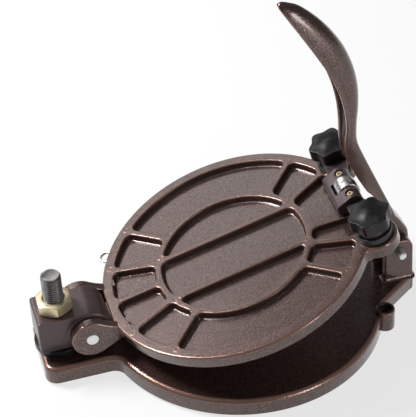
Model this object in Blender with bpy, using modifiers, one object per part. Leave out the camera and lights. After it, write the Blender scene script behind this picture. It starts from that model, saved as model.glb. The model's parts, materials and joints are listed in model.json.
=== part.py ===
"""Tortilla press: cast base, hinged top plate with a roller bridge, and a pressing lever.

Units are metres. The press stands on its feet at z = 0, with the hinge on the left (-X), the lever
on the right (+X) and the near side at -Y. The top plate is shown raised, as it is held for loading.
"""

import math

import bmesh
import bpy
from mathutils import Matrix, Vector

# Seats between pieces that touch, and running fits.
SEAT_GAP = 0.0003
PIN_FIT = 0.0003

# Base casting: a round table with a hinge lug on the left and a lever lug on the right.
BASE_RADIUS = 0.1325
BASE_HEIGHT = 0.0175
BASE_EDGE = 0.0045
BASE_RELIEF = 0.0034
BASE_RIB = 0.006
BASE_RING = 0.066
BASE_RIM = 0.007
BASE_RIB_COUNT = 8
BASE_RIB_TURN = 22.5
BASE_POCKET_CORNER = 0.006

# Holes for bolting the base down, in round bosses that stand on its edge.
BOSS_OUT = 0.0025
BOSS_ANGLE = 25.73
BOSS_RADIUS = 0.009
BOSS_HEIGHT = 0.022
BOSS_BORE = 0.0032
BOSS_SINK_RADIUS = 0.006
BOSS_SINK = 0.004

# Rubber feet, a little inside the base's edge.
FOOT_RADIUS = 0.010
FOOT_HEIGHT = 0.003
FOOT_DROP = 0.002
FOOT_INSET = 0.0225
FOOT_ANGLE = 40.0
FOOT_BOSS = 0.0125
FOOT_EDGE = 0.0005
FOOT_TAPER = 0.001

# Hinge axis, from the middle of the base.
HINGE_REACH = 0.1483
HINGE_Z = 0.0386
HINGE_PIN_RADIUS = 0.0061

# Height stud, nut, spacer and hinge block, behind the hinge axis.
STUD_BACK = 0.0267
STUD_RADIUS = 0.0097
STUD_TOP = 0.0990
STUD_HEAD_FLATS = 0.030
STUD_HEAD = 0.010
STUD_CHAMFER = 0.0015
STUD_SKIN = 0.006
NUT_FLATS = 0.030
NUT_HEIGHT = 0.012
NUT_CHAMFER = 0.0015
SPACER_RADIUS = 0.0225
SPACER_HEIGHT = 0.00635
BLOCK_BACK = 0.020
BLOCK_HALF = 0.020
BLOCK_EDGE = 0.0012
BARREL_RADIUS = 0.0216
BARREL_HALF = 0.0213
BARREL_ROOM = 0.0012
BUSH_WALL = 0.0018
STUD_REACH = HINGE_REACH + STUD_BACK
HINGE_LUG_END = STUD_REACH + BLOCK_BACK
HINGE_LUG_HALF = 0.037
HINGE_LUG_CORNER = 0.012
HINGE_LUG_ROOT = 0.012

# Top plate casting. PLATE_TOP and PLATE_LOW are heights from the hinge axis.
PLATE_RADIUS = 0.127
PLATE_TOP = 0.0026
PLATE_LOW = -0.0100
PLATE_OPEN_ANGLE = 15.3
PLATE_EDGE = 0.0018
PRESS_INSET = 0.005
PRESS_GAP = 0.00635
PRESS_EDGE = 0.001
POCKET_DEPTH = 0.0063
POCKET_CORNER = 0.006
RIB_WIDTH = 0.006
RIM_WIDTH = 0.0105
RING_RADIUS = 0.072
BAR_OFFSET = 0.0265
LEVER_PLATEAU = 0.025
RADIAL_ANGLES = (25.0, 45.0, 135.0, 159.5)
EAR_INNER = 0.0220
EAR_OUTER = 0.0310
EAR_RADIUS = 0.019
EAR_HOLD = 0.0147

# Star knobs, their studs and spacers, on two ears of the plate.
KNOB_PLACE = (0.122, 0.054)
KNOB_EAR_RADIUS = 0.020
KNOB_EAR_ROOT = 0.008
KNOB_SPACER_RADIUS = 0.0165
KNOB_SPACER_HEIGHT = 0.00635
KNOB_STUD_RADIUS = 0.004
KNOB_STUD_HEAD_RADIUS = 0.0075
KNOB_STUD_HEAD = 0.0042
KNOB_RADIUS = 0.0200
KNOB_WAIST = 0.0160
KNOB_LOBES = 6
KNOB_NECK_RADIUS = 0.0115
KNOB_NECK = 0.002
KNOB_SKIRT = 0.0095
KNOB_DOME = 0.0025
KNOB_DOME_DROP = 0.0005
KNOB_EDGE = 0.0012
KNOB_STUD_GRIP = 0.009

# Roller bridge between the knobs. The axle lies ROLLER_RISE above the plate's top.
ROLLER_BACK = 0.005
ROLLER_RISE = 0.012
BEARING_RADIUS = 0.011
BEARING_RACE = 0.0094
BEARING_HUB = 0.0060
BEARING_BORE = 0.0040
BEARING_WIDTH = 0.007
BEARING_SHIELD = 0.0005
BALL_RADIUS = 0.0014
BALL_COUNT = 7
AXLE_RADIUS = 0.0037
BRIDGE_EYE_RADIUS = 0.0135
BRIDGE_EYE_HEIGHT = 0.008
BRIDGE_CHEEK_RADIUS = 0.0095
BRIDGE_HALF = 0.022
BRIDGE_BACK = 0.016
BRIDGE_STRAP = 0.004
BRIDGE_STRAP_EDGE = 0.002
BRIDGE_STRAP_TOP = 0.0045
BRIDGE_SOLE = 0.0067
BRIDGE_SHOULDER = 0.008
SCREW_PLACE = 0.015
SCREW_RADIUS = 0.0028
SCREW_SINK_RADIUS = 0.0043
SCREW_SINK = 0.0028
SCREW_CROWN = 0.0010
SCREW_SOCKET_FLATS = 0.003
SCREW_SOCKET = 0.002

# Lever fork on the base and its pin. Fork sizes are taken from the pivot.
PIVOT_REACH = 0.149
PIVOT_Z = 0.053
FORK_BACK = 0.013
FORK_AHEAD = 0.014
FORK_OVER = 0.0107
FORK_CORNER = 0.010
FORK_INNER = 0.011
FORK_OUTER = 0.020
FORK_SINK = 0.003
LEVER_PIN_RADIUS = 0.004
LEVER_PIN_NEAR = 0.030
LEVER_PIN_FAR = 0.0235
CLIP_RADIUS = 0.007
CLIP_THICK = 0.001
CLIP_GROOVE = 0.001
LEVER_LUG_TOE = 0.003
LEVER_LUG_END = PIVOT_REACH + FORK_AHEAD + LEVER_LUG_TOE
LEVER_LUG_HALF = 0.020
LEVER_LUG_CORNER = 0.006
LEVER_LUG_ROOT_ANGLE = 20.6

# Lever. LEVER_LENGTH is the height of its tip above the pivot at rest.
LEVER_LENGTH = 0.2845
LEVER_HALF = 0.010
LEVER_BUSH_WALL = 0.0015
LEVER_HEEL = 0.014
LEVER_STROKE = 28.0
ROLLER_CLEARANCE = 0.0024
GRIP_WALL = 0.004

# Bright wire eye in the plate's far left edge.
WIRE_RADIUS = 0.0014
WIRE_HALF = 0.0058
WIRE_OUT = 0.0118
WIRE_SINK = 0.005
WIRE_ANGLE = 148.2

# The plate's middle lies this far right of the middle of the whole press, which stands centred.
CENTRE_X = ((STUD_REACH + SPACER_RADIUS) - LEVER_LUG_END) / 2
# A cutter runs this far past the surface that it opens.
CUT_PAST = 0.001

CAST_BRONZE = ((0.115, 0.068, 0.056), 0.38, 0.55)
BLOCK_BRONZE = ((0.075, 0.050, 0.050), 0.30, 0.50)
BLACK_PLASTIC = ((0.020, 0.020, 0.022), 0.38, 0.0)
GREY_PLASTIC = ((0.060, 0.062, 0.066), 0.50, 0.0)
BRIGHT_STEEL = ((0.620, 0.610, 0.600), 0.25, 1.0)
GOLD_ZINC = ((0.640, 0.470, 0.260), 0.30, 1.0)
BRONZE_BUSH = ((0.480, 0.300, 0.130), 0.35, 1.0)
RUBBER = ((0.015, 0.015, 0.015), 0.85, 0.0)


def clear_scene():
    for item in list(bpy.data.objects):
        bpy.data.objects.remove(item, do_unlink=True)
    for group in list(bpy.data.collections):
        bpy.data.collections.remove(group)


def new_collection(name):
    group = bpy.data.collections.new(name)
    bpy.context.scene.collection.children.link(group)
    return group


def new_material(name, finish):
    colour, roughness, metallic = finish
    made = bpy.data.materials.new(name)
    made.use_nodes = True
    shader = made.node_tree.nodes["Principled BSDF"]
    shader.inputs["Base Color"].default_value = (*colour, 1.0)
    shader.inputs["Roughness"].default_value = roughness
    shader.inputs["Metallic"].default_value = metallic
    made.diffuse_color = (*colour, 1.0)
    return made


def new_empty(name, location, parent=None, turn_y=0.0):
    made = bpy.data.objects.new(name, None)
    made.empty_display_size = LEVER_HALF
    made.location = location
    made.rotation_euler = (0.0, turn_y, 0.0)
    made.parent = parent
    PARTS.objects.link(made)
    return made


def part(name, mesh, frame, finish, location=(0.0, 0.0, 0.0)):
    """A named piece of the press, carried by the empty of its frame."""
    made = bpy.data.objects.new(name, mesh)
    mesh.name = name
    mesh.materials.clear()
    mesh.materials.append(new_material(name, finish))
    mesh.shade_smooth()
    mesh.set_sharp_from_angle(angle=math.radians(32.0))
    made.parent = frame
    made.location = location
    PARTS.objects.link(made)
    return made


def tool(name, mesh, frame):
    """A solid that only cuts or joins another, hidden from the render."""
    made = bpy.data.objects.new(name, mesh)
    made.parent = frame
    made.hide_render = True
    made.display_type = "WIRE"
    CUTTERS.objects.link(made)
    return made


def combine(target, operation, name, mesh):
    """Cut a mesh from the target or join it on, both given in the target's own frame."""
    other = tool(name, mesh, target.parent)
    other.location = target.location
    step = target.modifiers.new(name, "BOOLEAN")
    step.operation = operation
    step.solver = "EXACT"
    step.object = other


def cut(target, name, mesh):
    combine(target, "DIFFERENCE", name, mesh)


def join(target, name, mesh):
    combine(target, "UNION", name, mesh)


def mesh_from(builder, turn=None):
    """A mesh from a bmesh, with its faces pointing outwards."""
    if turn is not None:
        builder.transform(turn)
    bmesh.ops.recalc_face_normals(builder, faces=builder.faces)
    if builder.calc_volume(signed=True) < 0.0:
        bmesh.ops.reverse_faces(builder, faces=builder.faces)
    made = bpy.data.meshes.new("shape")
    builder.to_mesh(made)
    builder.free()
    return made


def merged(meshes):
    """Several separate closed shapes held in one mesh."""
    builder = bmesh.new()
    for item in meshes:
        builder.from_mesh(item)
        bpy.data.meshes.remove(item)
    return mesh_from(builder)


def arc(centre, radius, start, end, steps):
    """Points on an arc, from one angle to another in degrees, both ends included."""
    points = []
    for index in range(steps + 1):
        angle = math.radians(start + (end - start) * index / steps)
        points.append((centre[0] + radius * math.cos(angle), centre[1] + radius * math.sin(angle)))
    return points


def mirrored(half):
    """A closed outline from its half at y >= 0, which runs from left to right."""
    return half + [(x, -y) for x, y in reversed(half) if y > 1e-6]


def solid_from_curve(curve):
    """The mesh that a curve makes, in its own frame. The curve is removed."""
    guide = bpy.data.objects.new("guide", curve)
    bpy.context.scene.collection.objects.link(guide)
    graph = bpy.context.evaluated_depsgraph_get()
    raised = bpy.data.meshes.new_from_object(guide.evaluated_get(graph))
    bpy.data.objects.remove(guide, do_unlink=True)
    bpy.data.curves.remove(curve)
    return raised


def flat_solid(points, low, high, turn=None, rounding=0.0, steps=3):
    """An outline in x and y, filled and raised from low to high, with its top edge rounded."""
    curve = bpy.data.curves.new("outline", "CURVE")
    curve.dimensions = "2D"
    curve.fill_mode = "BOTH"
    curve.extrude = (high - low) / 2
    spline = curve.splines.new("POLY")
    spline.points.add(len(points) - 1)
    for spot, (x, y) in zip(spline.points, points):
        spot.co = (x, y, 0.0, 1.0)
    spline.use_cyclic_u = True
    raised = solid_from_curve(curve)
    builder = bmesh.new()
    builder.from_mesh(raised)
    bpy.data.meshes.remove(raised)
    bmesh.ops.remove_doubles(builder, verts=builder.verts, dist=1e-6)
    bmesh.ops.dissolve_limit(builder, angle_limit=math.radians(0.2), verts=builder.verts,
                             edges=builder.edges)
    bmesh.ops.translate(builder, verts=builder.verts, vec=(0.0, 0.0, (high + low) / 2))
    bmesh.ops.recalc_face_normals(builder, faces=builder.faces)
    if rounding > 0.0:
        level = high - SEAT_GAP
        rim = [edge for edge in builder.edges if min(v.co.z for v in edge.verts) > level]
        bmesh.ops.bevel(builder, geom=rim, offset=rounding, offset_type="OFFSET", segments=steps,
                        profile=0.5, affect="EDGES", clamp_overlap=True)
    return mesh_from(builder, turn)


UPRIGHT = Matrix.Rotation(math.radians(90.0), 4, "X")


def side_solid(points, low_y, high_y):
    """An outline in x and z, filled between two places along Y."""
    return flat_solid(points, -high_y, -low_y, turn=UPRIGHT)


def rod(radius, low, high, centre=(0.0, 0.0), axis="Z", steps=32):
    """A cylinder along Z at centre (x, y), or along Y at centre (x, z)."""
    builder = bmesh.new()
    middle = Matrix.Translation((0.0, 0.0, (low + high) / 2))
    bmesh.ops.create_cone(builder, cap_ends=True, segments=steps, radius1=radius, radius2=radius,
                          depth=high - low, matrix=middle)
    if axis == "Y":
        turn = Matrix.Translation((centre[0], 0.0, centre[1])) @ UPRIGHT.inverted()
    else:
        turn = Matrix.Translation((centre[0], centre[1], 0.0))
    return mesh_from(builder, turn)


def block(low, high):
    """A box between its lowest and highest corners."""
    builder = bmesh.new()
    size = Vector(high) - Vector(low)
    middle = (Vector(high) + Vector(low)) / 2
    place = Matrix.Translation(middle) @ Matrix.Diagonal((*size, 1.0))
    bmesh.ops.create_cube(builder, size=1.0, matrix=place)
    return mesh_from(builder)


def turned(profile, axis="Z", centre=(0.0, 0.0), steps=48):
    """A profile of (radius, height) points swept once round, along Z or along Y."""
    line = bpy.data.meshes.new("profile")
    closed = profile[0][0] > 1e-6
    count = len(profile)
    edges = [(index, index + 1) for index in range(count - 1)]
    if closed:
        edges.append((count - 1, 0))
    line.from_pydata([(r, 0.0, z) for r, z in profile], edges, [])
    guide = bpy.data.objects.new("profile", line)
    bpy.context.scene.collection.objects.link(guide)
    screw = guide.modifiers.new("turn", "SCREW")
    screw.steps = steps
    screw.render_steps = steps
    screw.use_merge_vertices = True
    screw.merge_threshold = 1e-5
    graph = bpy.context.evaluated_depsgraph_get()
    swept = bpy.data.meshes.new_from_object(guide.evaluated_get(graph))
    bpy.data.objects.remove(guide, do_unlink=True)
    bpy.data.meshes.remove(line)
    builder = bmesh.new()
    builder.from_mesh(swept)
    bpy.data.meshes.remove(swept)
    bmesh.ops.remove_doubles(builder, verts=builder.verts, dist=1e-6)
    if axis == "Y":
        turn = Matrix.Translation((centre[0], 0.0, centre[1])) @ UPRIGHT.inverted()
    else:
        turn = Matrix.Translation((centre[0], centre[1], 0.0))
    return mesh_from(builder, turn)


def ring(inner, outer, low, high, axis="Z", centre=(0.0, 0.0), steps=32):
    """A plain ring with square edges."""
    return turned([(outer, high), (outer, low), (inner, low), (inner, high)], axis, centre, steps)


def hexagon(flats, turn=30.0):
    """Corners of a hexagon, from its width across flats."""
    return arc((0.0, 0.0), flats / 2 / math.cos(math.radians(30.0)), turn, turn + 300.0, 5)


def shifted(points, x, y=0.0):
    return [(px + x, py + y) for px, py in points]


def crossing(centre_a, reach_a, centre_b, reach_b, side):
    """Where two circles cross, on the left (+1) or right (-1) of the line from a to b."""
    gap = Vector(centre_b) - Vector(centre_a)
    span = gap.length
    along = (reach_a ** 2 - reach_b ** 2 + span ** 2) / (2 * span)
    aside = math.sqrt(reach_a ** 2 - along ** 2)
    unit = gap / span
    spot = Vector(centre_a) + unit * along + Vector((-unit.y, unit.x)) * aside * side
    return spot.x, spot.y


def angle_of(centre, point):
    return math.degrees(math.atan2(point[1] - centre[1], point[0] - centre[0]))


def rounded_loop(sides, radius):
    """Join four open sides into a loop, with each corner cut back and rounded by a curve."""
    trimmed = []
    for side in sides:
        trimmed.append(cut_back(side, radius))
    loop = []
    for index, side in enumerate(trimmed):
        loop += side
        following = trimmed[(index + 1) % len(trimmed)]
        corner = Vector(sides[index][-1])
        start = Vector(side[-1])
        end = Vector(following[0])
        for part_way in (0.25, 0.5, 0.75):
            first = start.lerp(corner, part_way)
            second = corner.lerp(end, part_way)
            spot = first.lerp(second, part_way)
            loop.append((spot.x, spot.y))
    return loop


def cut_back(side, length):
    """Shorten a line of points by a length at both ends."""
    kept = trim_start(side, length)
    kept = trim_start(list(reversed(kept)), length)
    return list(reversed(kept))


def trim_start(points, length):
    left = length
    for index in range(len(points) - 1):
        start = Vector(points[index])
        end = Vector(points[index + 1])
        span = (end - start).length
        if span > left:
            spot = start.lerp(end, left / span)
            return [(spot.x, spot.y)] + list(points[index + 1:])
        left -= span
    return list(points[-2:])


def sector(inner, outer, start, end, rib, corner, step=10.0):
    """A pocket between two radial ribs and two rings, with parallel-sided ribs and round corners."""
    half = rib / 2

    def edge_angle(radius, angle, way):
        return angle + way * math.degrees(math.asin(half / radius))

    outer_arc = (edge_angle(outer, start, 1), edge_angle(outer, end, -1))
    inner_arc = (edge_angle(inner, end, -1), edge_angle(inner, start, 1))
    count = max(2, round((end - start) / step))
    outer_side = arc((0.0, 0.0), outer, *outer_arc, count)
    inner_side = arc((0.0, 0.0), inner, *inner_arc, count)
    return rounded_loop([outer_side, [outer_side[-1], inner_side[0]], inner_side,
                         [inner_side[-1], outer_side[0]]], corner)


def segment(radius, offset, corner, step=12.0):
    """A pocket between a ring and a straight bar at y = offset."""
    reach = math.degrees(math.asin(offset / radius))
    count = round((180.0 - 2 * reach) / step)
    bow = arc((0.0, 0.0), radius, reach, 180.0 - reach, count)
    return rounded_loop([bow, [bow[-1], bow[0]]], corner)


def band(radius, offset, corner):
    """The pocket across the middle, between two bars and inside a ring."""
    reach = math.degrees(math.asin(offset / radius))
    right = arc((0.0, 0.0), radius, -reach, reach, 4)
    left = arc((0.0, 0.0), radius, 180.0 - reach, 180.0 + reach, 4)
    return rounded_loop([right, [right[-1], left[0]], left, [left[-1], right[0]]], corner)


def base_outline():
    """Half of the base seen from above, from the hinge lug's end to the lever lug's end."""
    corner_spot = (-(HINGE_LUG_END - HINGE_LUG_CORNER), HINGE_LUG_HALF - HINGE_LUG_CORNER)
    root_y = HINGE_LUG_HALF + HINGE_LUG_ROOT
    root_x = -math.sqrt((BASE_RADIUS + HINGE_LUG_ROOT) ** 2 - root_y ** 2)
    root = (root_x, root_y)
    meet = angle_of((0.0, 0.0), root)
    half = [(-HINGE_LUG_END, 0.0)]
    half += arc(corner_spot, HINGE_LUG_CORNER, 180.0, 90.0, 4)
    half += arc(root, HINGE_LUG_ROOT, -90.0, meet - 180.0, 4)
    half += arc((0.0, 0.0), BASE_RADIUS, meet, LEVER_LUG_ROOT_ANGLE, 24)[1:]
    tip = (LEVER_LUG_END - LEVER_LUG_CORNER, LEVER_LUG_HALF - LEVER_LUG_CORNER)
    half += arc(tip, LEVER_LUG_CORNER, 75.0, 0.0, 4)
    half.append((LEVER_LUG_END, 0.0))
    return mirrored(half)


def fork_outline():
    """One cheek of the lever fork, seen from the side, with its foot inside the base."""
    low = BASE_HEIGHT - FORK_SINK
    left = PIVOT_REACH - FORK_BACK
    crown = PIVOT_Z + FORK_OVER - FORK_CORNER
    left_corner = (left + FORK_CORNER, crown)
    right_corner = (PIVOT_REACH + FORK_AHEAD - FORK_CORNER, crown)
    outline = [(left, low), (LEVER_LUG_END - BASE_EDGE / 2, low)]
    outline += arc(right_corner, FORK_CORNER, 0.0, 90.0, 6)
    outline += arc(left_corner, FORK_CORNER, 90.0, 180.0, 6)
    return outline


def at_angle(reach, degrees):
    turn = math.radians(degrees)
    return reach * math.cos(turn), reach * math.sin(turn)


def feet_places():
    for label, way in (("far", 1), ("near", -1)):
        for end, angle in (("right", FOOT_ANGLE), ("left", 180.0 - FOOT_ANGLE)):
            yield f"foot_{label}_{end}", at_angle(BASE_RADIUS - FOOT_INSET, angle * way)


def boss_places():
    return [at_angle(BASE_RADIUS + BOSS_OUT, BOSS_ANGLE * way) for way in (1, -1)]


def make_base(frame):
    solid = flat_solid(base_outline(), 0.0, BASE_HEIGHT, rounding=BASE_EDGE, steps=2)
    base = part("base", solid, frame, CAST_BRONZE)
    below = -CUT_PAST
    spacing = 360.0 / BASE_RIB_COUNT
    hollows = []
    for index in range(BASE_RIB_COUNT):
        start = BASE_RIB_TURN + spacing * index
        shape = sector(BASE_RING + BASE_RIB / 2, BASE_RADIUS - BASE_RIM, start, start + spacing,
                       BASE_RIB, BASE_POCKET_CORNER)
        hollows.append(flat_solid(shape, below, BASE_RELIEF))
    core = arc((0.0, 0.0), BASE_RING - BASE_RIB / 2, 0.0, 345.0, 23)
    hollows.append(flat_solid(core, below, BASE_RELIEF))
    cut(base, "base_relief", merged(hollows))
    pads = [rod(FOOT_BOSS, FOOT_HEIGHT - FOOT_DROP + SEAT_GAP, BASE_RELIEF + SEAT_GAP, spot)
            for name, spot in feet_places()]
    join(base, "foot_pads", merged(pads))
    bosses = [rod(BOSS_RADIUS, SEAT_GAP, BOSS_HEIGHT, spot) for spot in boss_places()]
    join(base, "bolt_bosses", merged(bosses))
    cheeks = [side_solid(fork_outline(), FORK_INNER, FORK_OUTER),
              side_solid(fork_outline(), -FORK_OUTER, -FORK_INNER)]
    join(base, "lever_fork", merged(cheeks))
    above = BOSS_HEIGHT + CUT_PAST
    sink = BOSS_HEIGHT - BOSS_SINK
    hole = [(0.0, above), (BOSS_SINK_RADIUS, above), (BOSS_SINK_RADIUS, sink), (BOSS_BORE, sink),
            (BOSS_BORE, below), (0.0, below)]
    cut(base, "bolt_holes", merged([turned(hole, centre=spot, steps=24) for spot in boss_places()]))
    cut(base, "fork_bore", rod(LEVER_PIN_RADIUS + PIN_FIT, -FORK_OUTER - CUT_PAST,
                               FORK_OUTER + CUT_PAST, (PIVOT_REACH, PIVOT_Z), "Y"))
    recess = hexagon(STUD_HEAD_FLATS + 4 * SEAT_GAP)
    cut(base, "stud_head_recess", flat_solid(shifted(recess, -STUD_REACH), below,
                                             stud_head_top() + SEAT_GAP))
    cut(base, "stud_hole", rod(STUD_RADIUS + SEAT_GAP, below, BASE_HEIGHT + CUT_PAST,
                               (-STUD_REACH, 0.0)))


def stud_head_top():
    """The stud's head sits in its recess with the base's skin above it."""
    return BASE_HEIGHT - STUD_SKIN - SEAT_GAP


def spacer_low():
    return BASE_HEIGHT + SEAT_GAP


def block_low():
    return spacer_low() + SPACER_HEIGHT + SEAT_GAP


def block_top():
    return HINGE_Z + BARREL_RADIUS


def make_feet(frame):
    top = FOOT_HEIGHT - FOOT_DROP
    profile = [(0.0, top), (FOOT_RADIUS - FOOT_EDGE, top), (FOOT_RADIUS, top - FOOT_EDGE),
               (FOOT_RADIUS - FOOT_TAPER, -FOOT_DROP), (0.0, -FOOT_DROP)]
    for name, spot in feet_places():
        part(name, turned(profile, steps=24), frame, RUBBER, (*spot, 0.0))


def make_height_stack(frame):
    """Stud, spacer, hinge block and nut, all on the stud's axis."""
    head = stud_head_top()
    spot = (-STUD_REACH, 0.0, 0.0)
    shank = turned([(0.0, STUD_TOP), (STUD_RADIUS - STUD_CHAMFER, STUD_TOP),
                    (STUD_RADIUS, STUD_TOP - STUD_CHAMFER), (STUD_RADIUS, head - CUT_PAST),
                    (0.0, head - CUT_PAST)], steps=40)
    stud = part("height_stud", shank, frame, BRIGHT_STEEL, spot)
    join(stud, "stud_head", flat_solid(hexagon(STUD_HEAD_FLATS), head - STUD_HEAD, head))
    part("height_spacer", ring(STUD_RADIUS + 2 * SEAT_GAP, SPACER_RADIUS, spacer_low(),
                               spacer_low() + SPACER_HEIGHT, steps=48), frame, BLACK_PLASTIC, spot)
    low = block_low()
    top = block_top()
    sill = math.degrees(math.asin((low - HINGE_Z) / BARREL_RADIUS))
    end = -STUD_REACH - BLOCK_BACK
    side = [(end, low)]
    side += arc((-HINGE_REACH, HINGE_Z), BARREL_RADIUS, sill, 90.0, 12)
    side.append((end, top))
    hinge_block = part("hinge_block", side_solid(side, -BLOCK_HALF, BLOCK_HALF), frame, BLOCK_BRONZE)
    edge = hinge_block.modifiers.new("edges", "BEVEL")
    edge.width = BLOCK_EDGE
    edge.segments = 1
    edge.limit_method = "ANGLE"
    edge.angle_limit = math.radians(40.0)
    inset = 1.5 * BLOCK_EDGE
    barrel = arc((-HINGE_REACH, HINGE_Z), BARREL_RADIUS - inset, sill, 180.0, 16)
    barrel.append((-HINGE_REACH - BARREL_RADIUS + inset, low + inset))
    join(hinge_block, "barrel_ends", side_solid(barrel, -BARREL_HALF, BARREL_HALF))
    cut(hinge_block, "stud_bore", rod(STUD_RADIUS + SEAT_GAP, low - CUT_PAST, top + CUT_PAST,
                                      (-STUD_REACH, 0.0)))
    bush_outer = HINGE_PIN_RADIUS + PIN_FIT + BUSH_WALL
    axis = (-HINGE_REACH, HINGE_Z)
    cut(hinge_block, "barrel_bore", rod(bush_outer + SEAT_GAP, -BARREL_HALF - CUT_PAST,
                                        BARREL_HALF + CUT_PAST, axis, "Y"))
    part("hinge_bush", ring(HINGE_PIN_RADIUS + PIN_FIT, bush_outer, -BARREL_HALF, BARREL_HALF, "Y",
                            axis, 24), frame, BRONZE_BUSH)
    nut_low = top + SEAT_GAP
    nut = part("height_nut", flat_solid(hexagon(NUT_FLATS), nut_low, nut_low + NUT_HEIGHT), frame,
               GOLD_ZINC, spot)
    across = NUT_FLATS / 2
    corner = across / math.cos(math.radians(30.0))
    crown = nut_low + NUT_HEIGHT
    reach = corner + CUT_PAST
    cap = turned([(0.0, crown), (across, crown), (reach, crown - NUT_CHAMFER),
                  (reach, nut_low + NUT_CHAMFER / 2), (across + CUT_PAST, nut_low),
                  (0.0, nut_low)], steps=24)
    step = nut.modifiers.new("nut_chamfer", "BOOLEAN")
    step.operation = "INTERSECT"
    step.solver = "EXACT"
    step.object = tool("nut_chamfer", cap, frame)
    step.object.location = spot
    cut(nut, "nut_bore", rod(STUD_RADIUS + SEAT_GAP, nut_low - CUT_PAST, crown + CUT_PAST, steps=28))


def plate_outline():
    """Half of the plate seen from above, about its own middle: a disc with a knob ear."""
    ear = KNOB_PLACE
    inner = crossing((0.0, 0.0), PLATE_RADIUS + KNOB_EAR_ROOT, ear, KNOB_EAR_RADIUS + KNOB_EAR_ROOT, 1)
    outer = crossing((0.0, 0.0), PLATE_RADIUS + KNOB_EAR_ROOT, ear, KNOB_EAR_RADIUS + KNOB_EAR_ROOT, -1)
    far_meet = angle_of((0.0, 0.0), inner)
    near_meet = angle_of((0.0, 0.0), outer)
    half = arc((0.0, 0.0), PLATE_RADIUS, 180.0, far_meet, 24)
    half += arc(inner, KNOB_EAR_ROOT, far_meet - 180.0, angle_of(inner, ear), 3)[1:]
    start = angle_of(ear, inner)
    end = angle_of(ear, outer)
    half += arc(ear, KNOB_EAR_RADIUS, start, end, 10)[1:]
    half += arc(outer, KNOB_EAR_ROOT, angle_of(outer, ear), near_meet + 180.0, 3)[1:]
    half += arc((0.0, 0.0), PLATE_RADIUS, near_meet, 0.0, 5)[1:]
    return mirrored(half)


def plate_pockets():
    """Outlines of the pockets in the plate's top, about its own middle."""
    ring_in = RING_RADIUS - RIB_WIDTH / 2
    ring_out = RING_RADIUS + RIB_WIDTH / 2
    half_bar = RIB_WIDTH / 2
    shapes = [band(ring_in, BAR_OFFSET - half_bar, POCKET_CORNER)]
    upper = segment(ring_in, BAR_OFFSET + half_bar, POCKET_CORNER)
    rim_inner = PLATE_RADIUS - RIM_WIDTH
    plateau = math.degrees(math.asin((LEVER_PLATEAU + RIB_WIDTH) / (ring_out + rim_inner)))
    bounds = [plateau] + list(RADIAL_ANGLES) + [180.0]
    side = [upper]
    for start, end in zip(bounds, bounds[1:]):
        side.append(sector(ring_out, rim_inner, start, end, RIB_WIDTH, POCKET_CORNER))
    for shape in side:
        shapes.append(shape)
        shapes.append([(x, -y) for x, y in reversed(shape)])
    return shapes


def hinge_arm_outline():
    """One hinge arm from the side: an eye round the hinge axis that tapers into the plate."""
    root = HINGE_REACH - PLATE_RADIUS + EAR_HOLD
    top_turn = math.degrees(math.acos(EAR_RADIUS / math.hypot(root, PLATE_TOP)))
    low_turn = math.degrees(math.acos(EAR_RADIUS / math.hypot(root, PLATE_LOW)))
    upper = angle_of((0.0, 0.0), (root, PLATE_TOP)) + top_turn
    lower = angle_of((0.0, 0.0), (root, PLATE_LOW)) - low_turn
    outline = arc((0.0, 0.0), EAR_RADIUS, upper, lower + 360.0, 24)
    outline += [(root, PLATE_LOW), (root, PLATE_TOP)]
    return outline


def make_plate(frame):
    middle = HINGE_REACH
    solid = flat_solid(shifted(plate_outline(), middle), PLATE_LOW, PLATE_TOP, rounding=PLATE_EDGE,
                       steps=2)
    plate = part("top_plate", solid, frame, CAST_BRONZE)
    gap_low = BASE_HEIGHT + PRESS_GAP - HINGE_Z
    press = PLATE_RADIUS - PRESS_INSET
    face = [(0.0, PLATE_LOW + PRESS_EDGE), (press, PLATE_LOW + PRESS_EDGE),
            (press, gap_low + PRESS_EDGE), (press - PRESS_EDGE, gap_low), (0.0, gap_low)]
    join(plate, "pressing_face", turned(face, centre=(middle, 0.0), steps=48))
    arms = [side_solid(hinge_arm_outline(), EAR_INNER, EAR_OUTER),
            side_solid(hinge_arm_outline(), -EAR_OUTER, -EAR_INNER)]
    join(plate, "hinge_arms", merged(arms))
    pockets = [flat_solid(shifted(shape, middle), PLATE_TOP - POCKET_DEPTH, PLATE_TOP + CUT_PAST)
               for shape in plate_pockets()]
    cut(plate, "plate_pockets", merged(pockets))
    cut(plate, "hinge_bore", rod(HINGE_PIN_RADIUS + SEAT_GAP, -EAR_OUTER - CUT_PAST,
                                 EAR_OUTER + CUT_PAST, (0.0, 0.0), "Y"))
    cut(plate, "barrel_room", rod(BARREL_RADIUS + BARREL_ROOM, -EAR_INNER, EAR_INNER, (0.0, 0.0), "Y",
                                  48))
    sink = PLATE_LOW + KNOB_STUD_HEAD + 2 * SEAT_GAP
    bore = KNOB_STUD_RADIUS + SEAT_GAP
    recess = KNOB_STUD_HEAD_RADIUS + SEAT_GAP
    hole = [(0.0, PLATE_TOP + CUT_PAST), (bore, PLATE_TOP + CUT_PAST), (bore, sink), (recess, sink),
            (recess, PLATE_LOW - CUT_PAST), (0.0, PLATE_LOW - CUT_PAST)]
    holes = [turned(hole, centre=(middle + KNOB_PLACE[0], KNOB_PLACE[1] * way), steps=24)
             for way in (1, -1)]
    cut(plate, "knob_stud_holes", merged(holes))
    legs = [spoke(WIRE_RADIUS + SEAT_GAP, PLATE_RADIUS - WIRE_SINK - SEAT_GAP, PLATE_RADIUS + CUT_PAST,
                  WIRE_HALF * way) for way in (1, -1)]
    cut(plate, "wire_holes", merged(legs))
    part("hinge_pin", rod(HINGE_PIN_RADIUS, -EAR_OUTER, EAR_OUTER, (0.0, 0.0), "Y"), frame,
         BRIGHT_STEEL)


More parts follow.
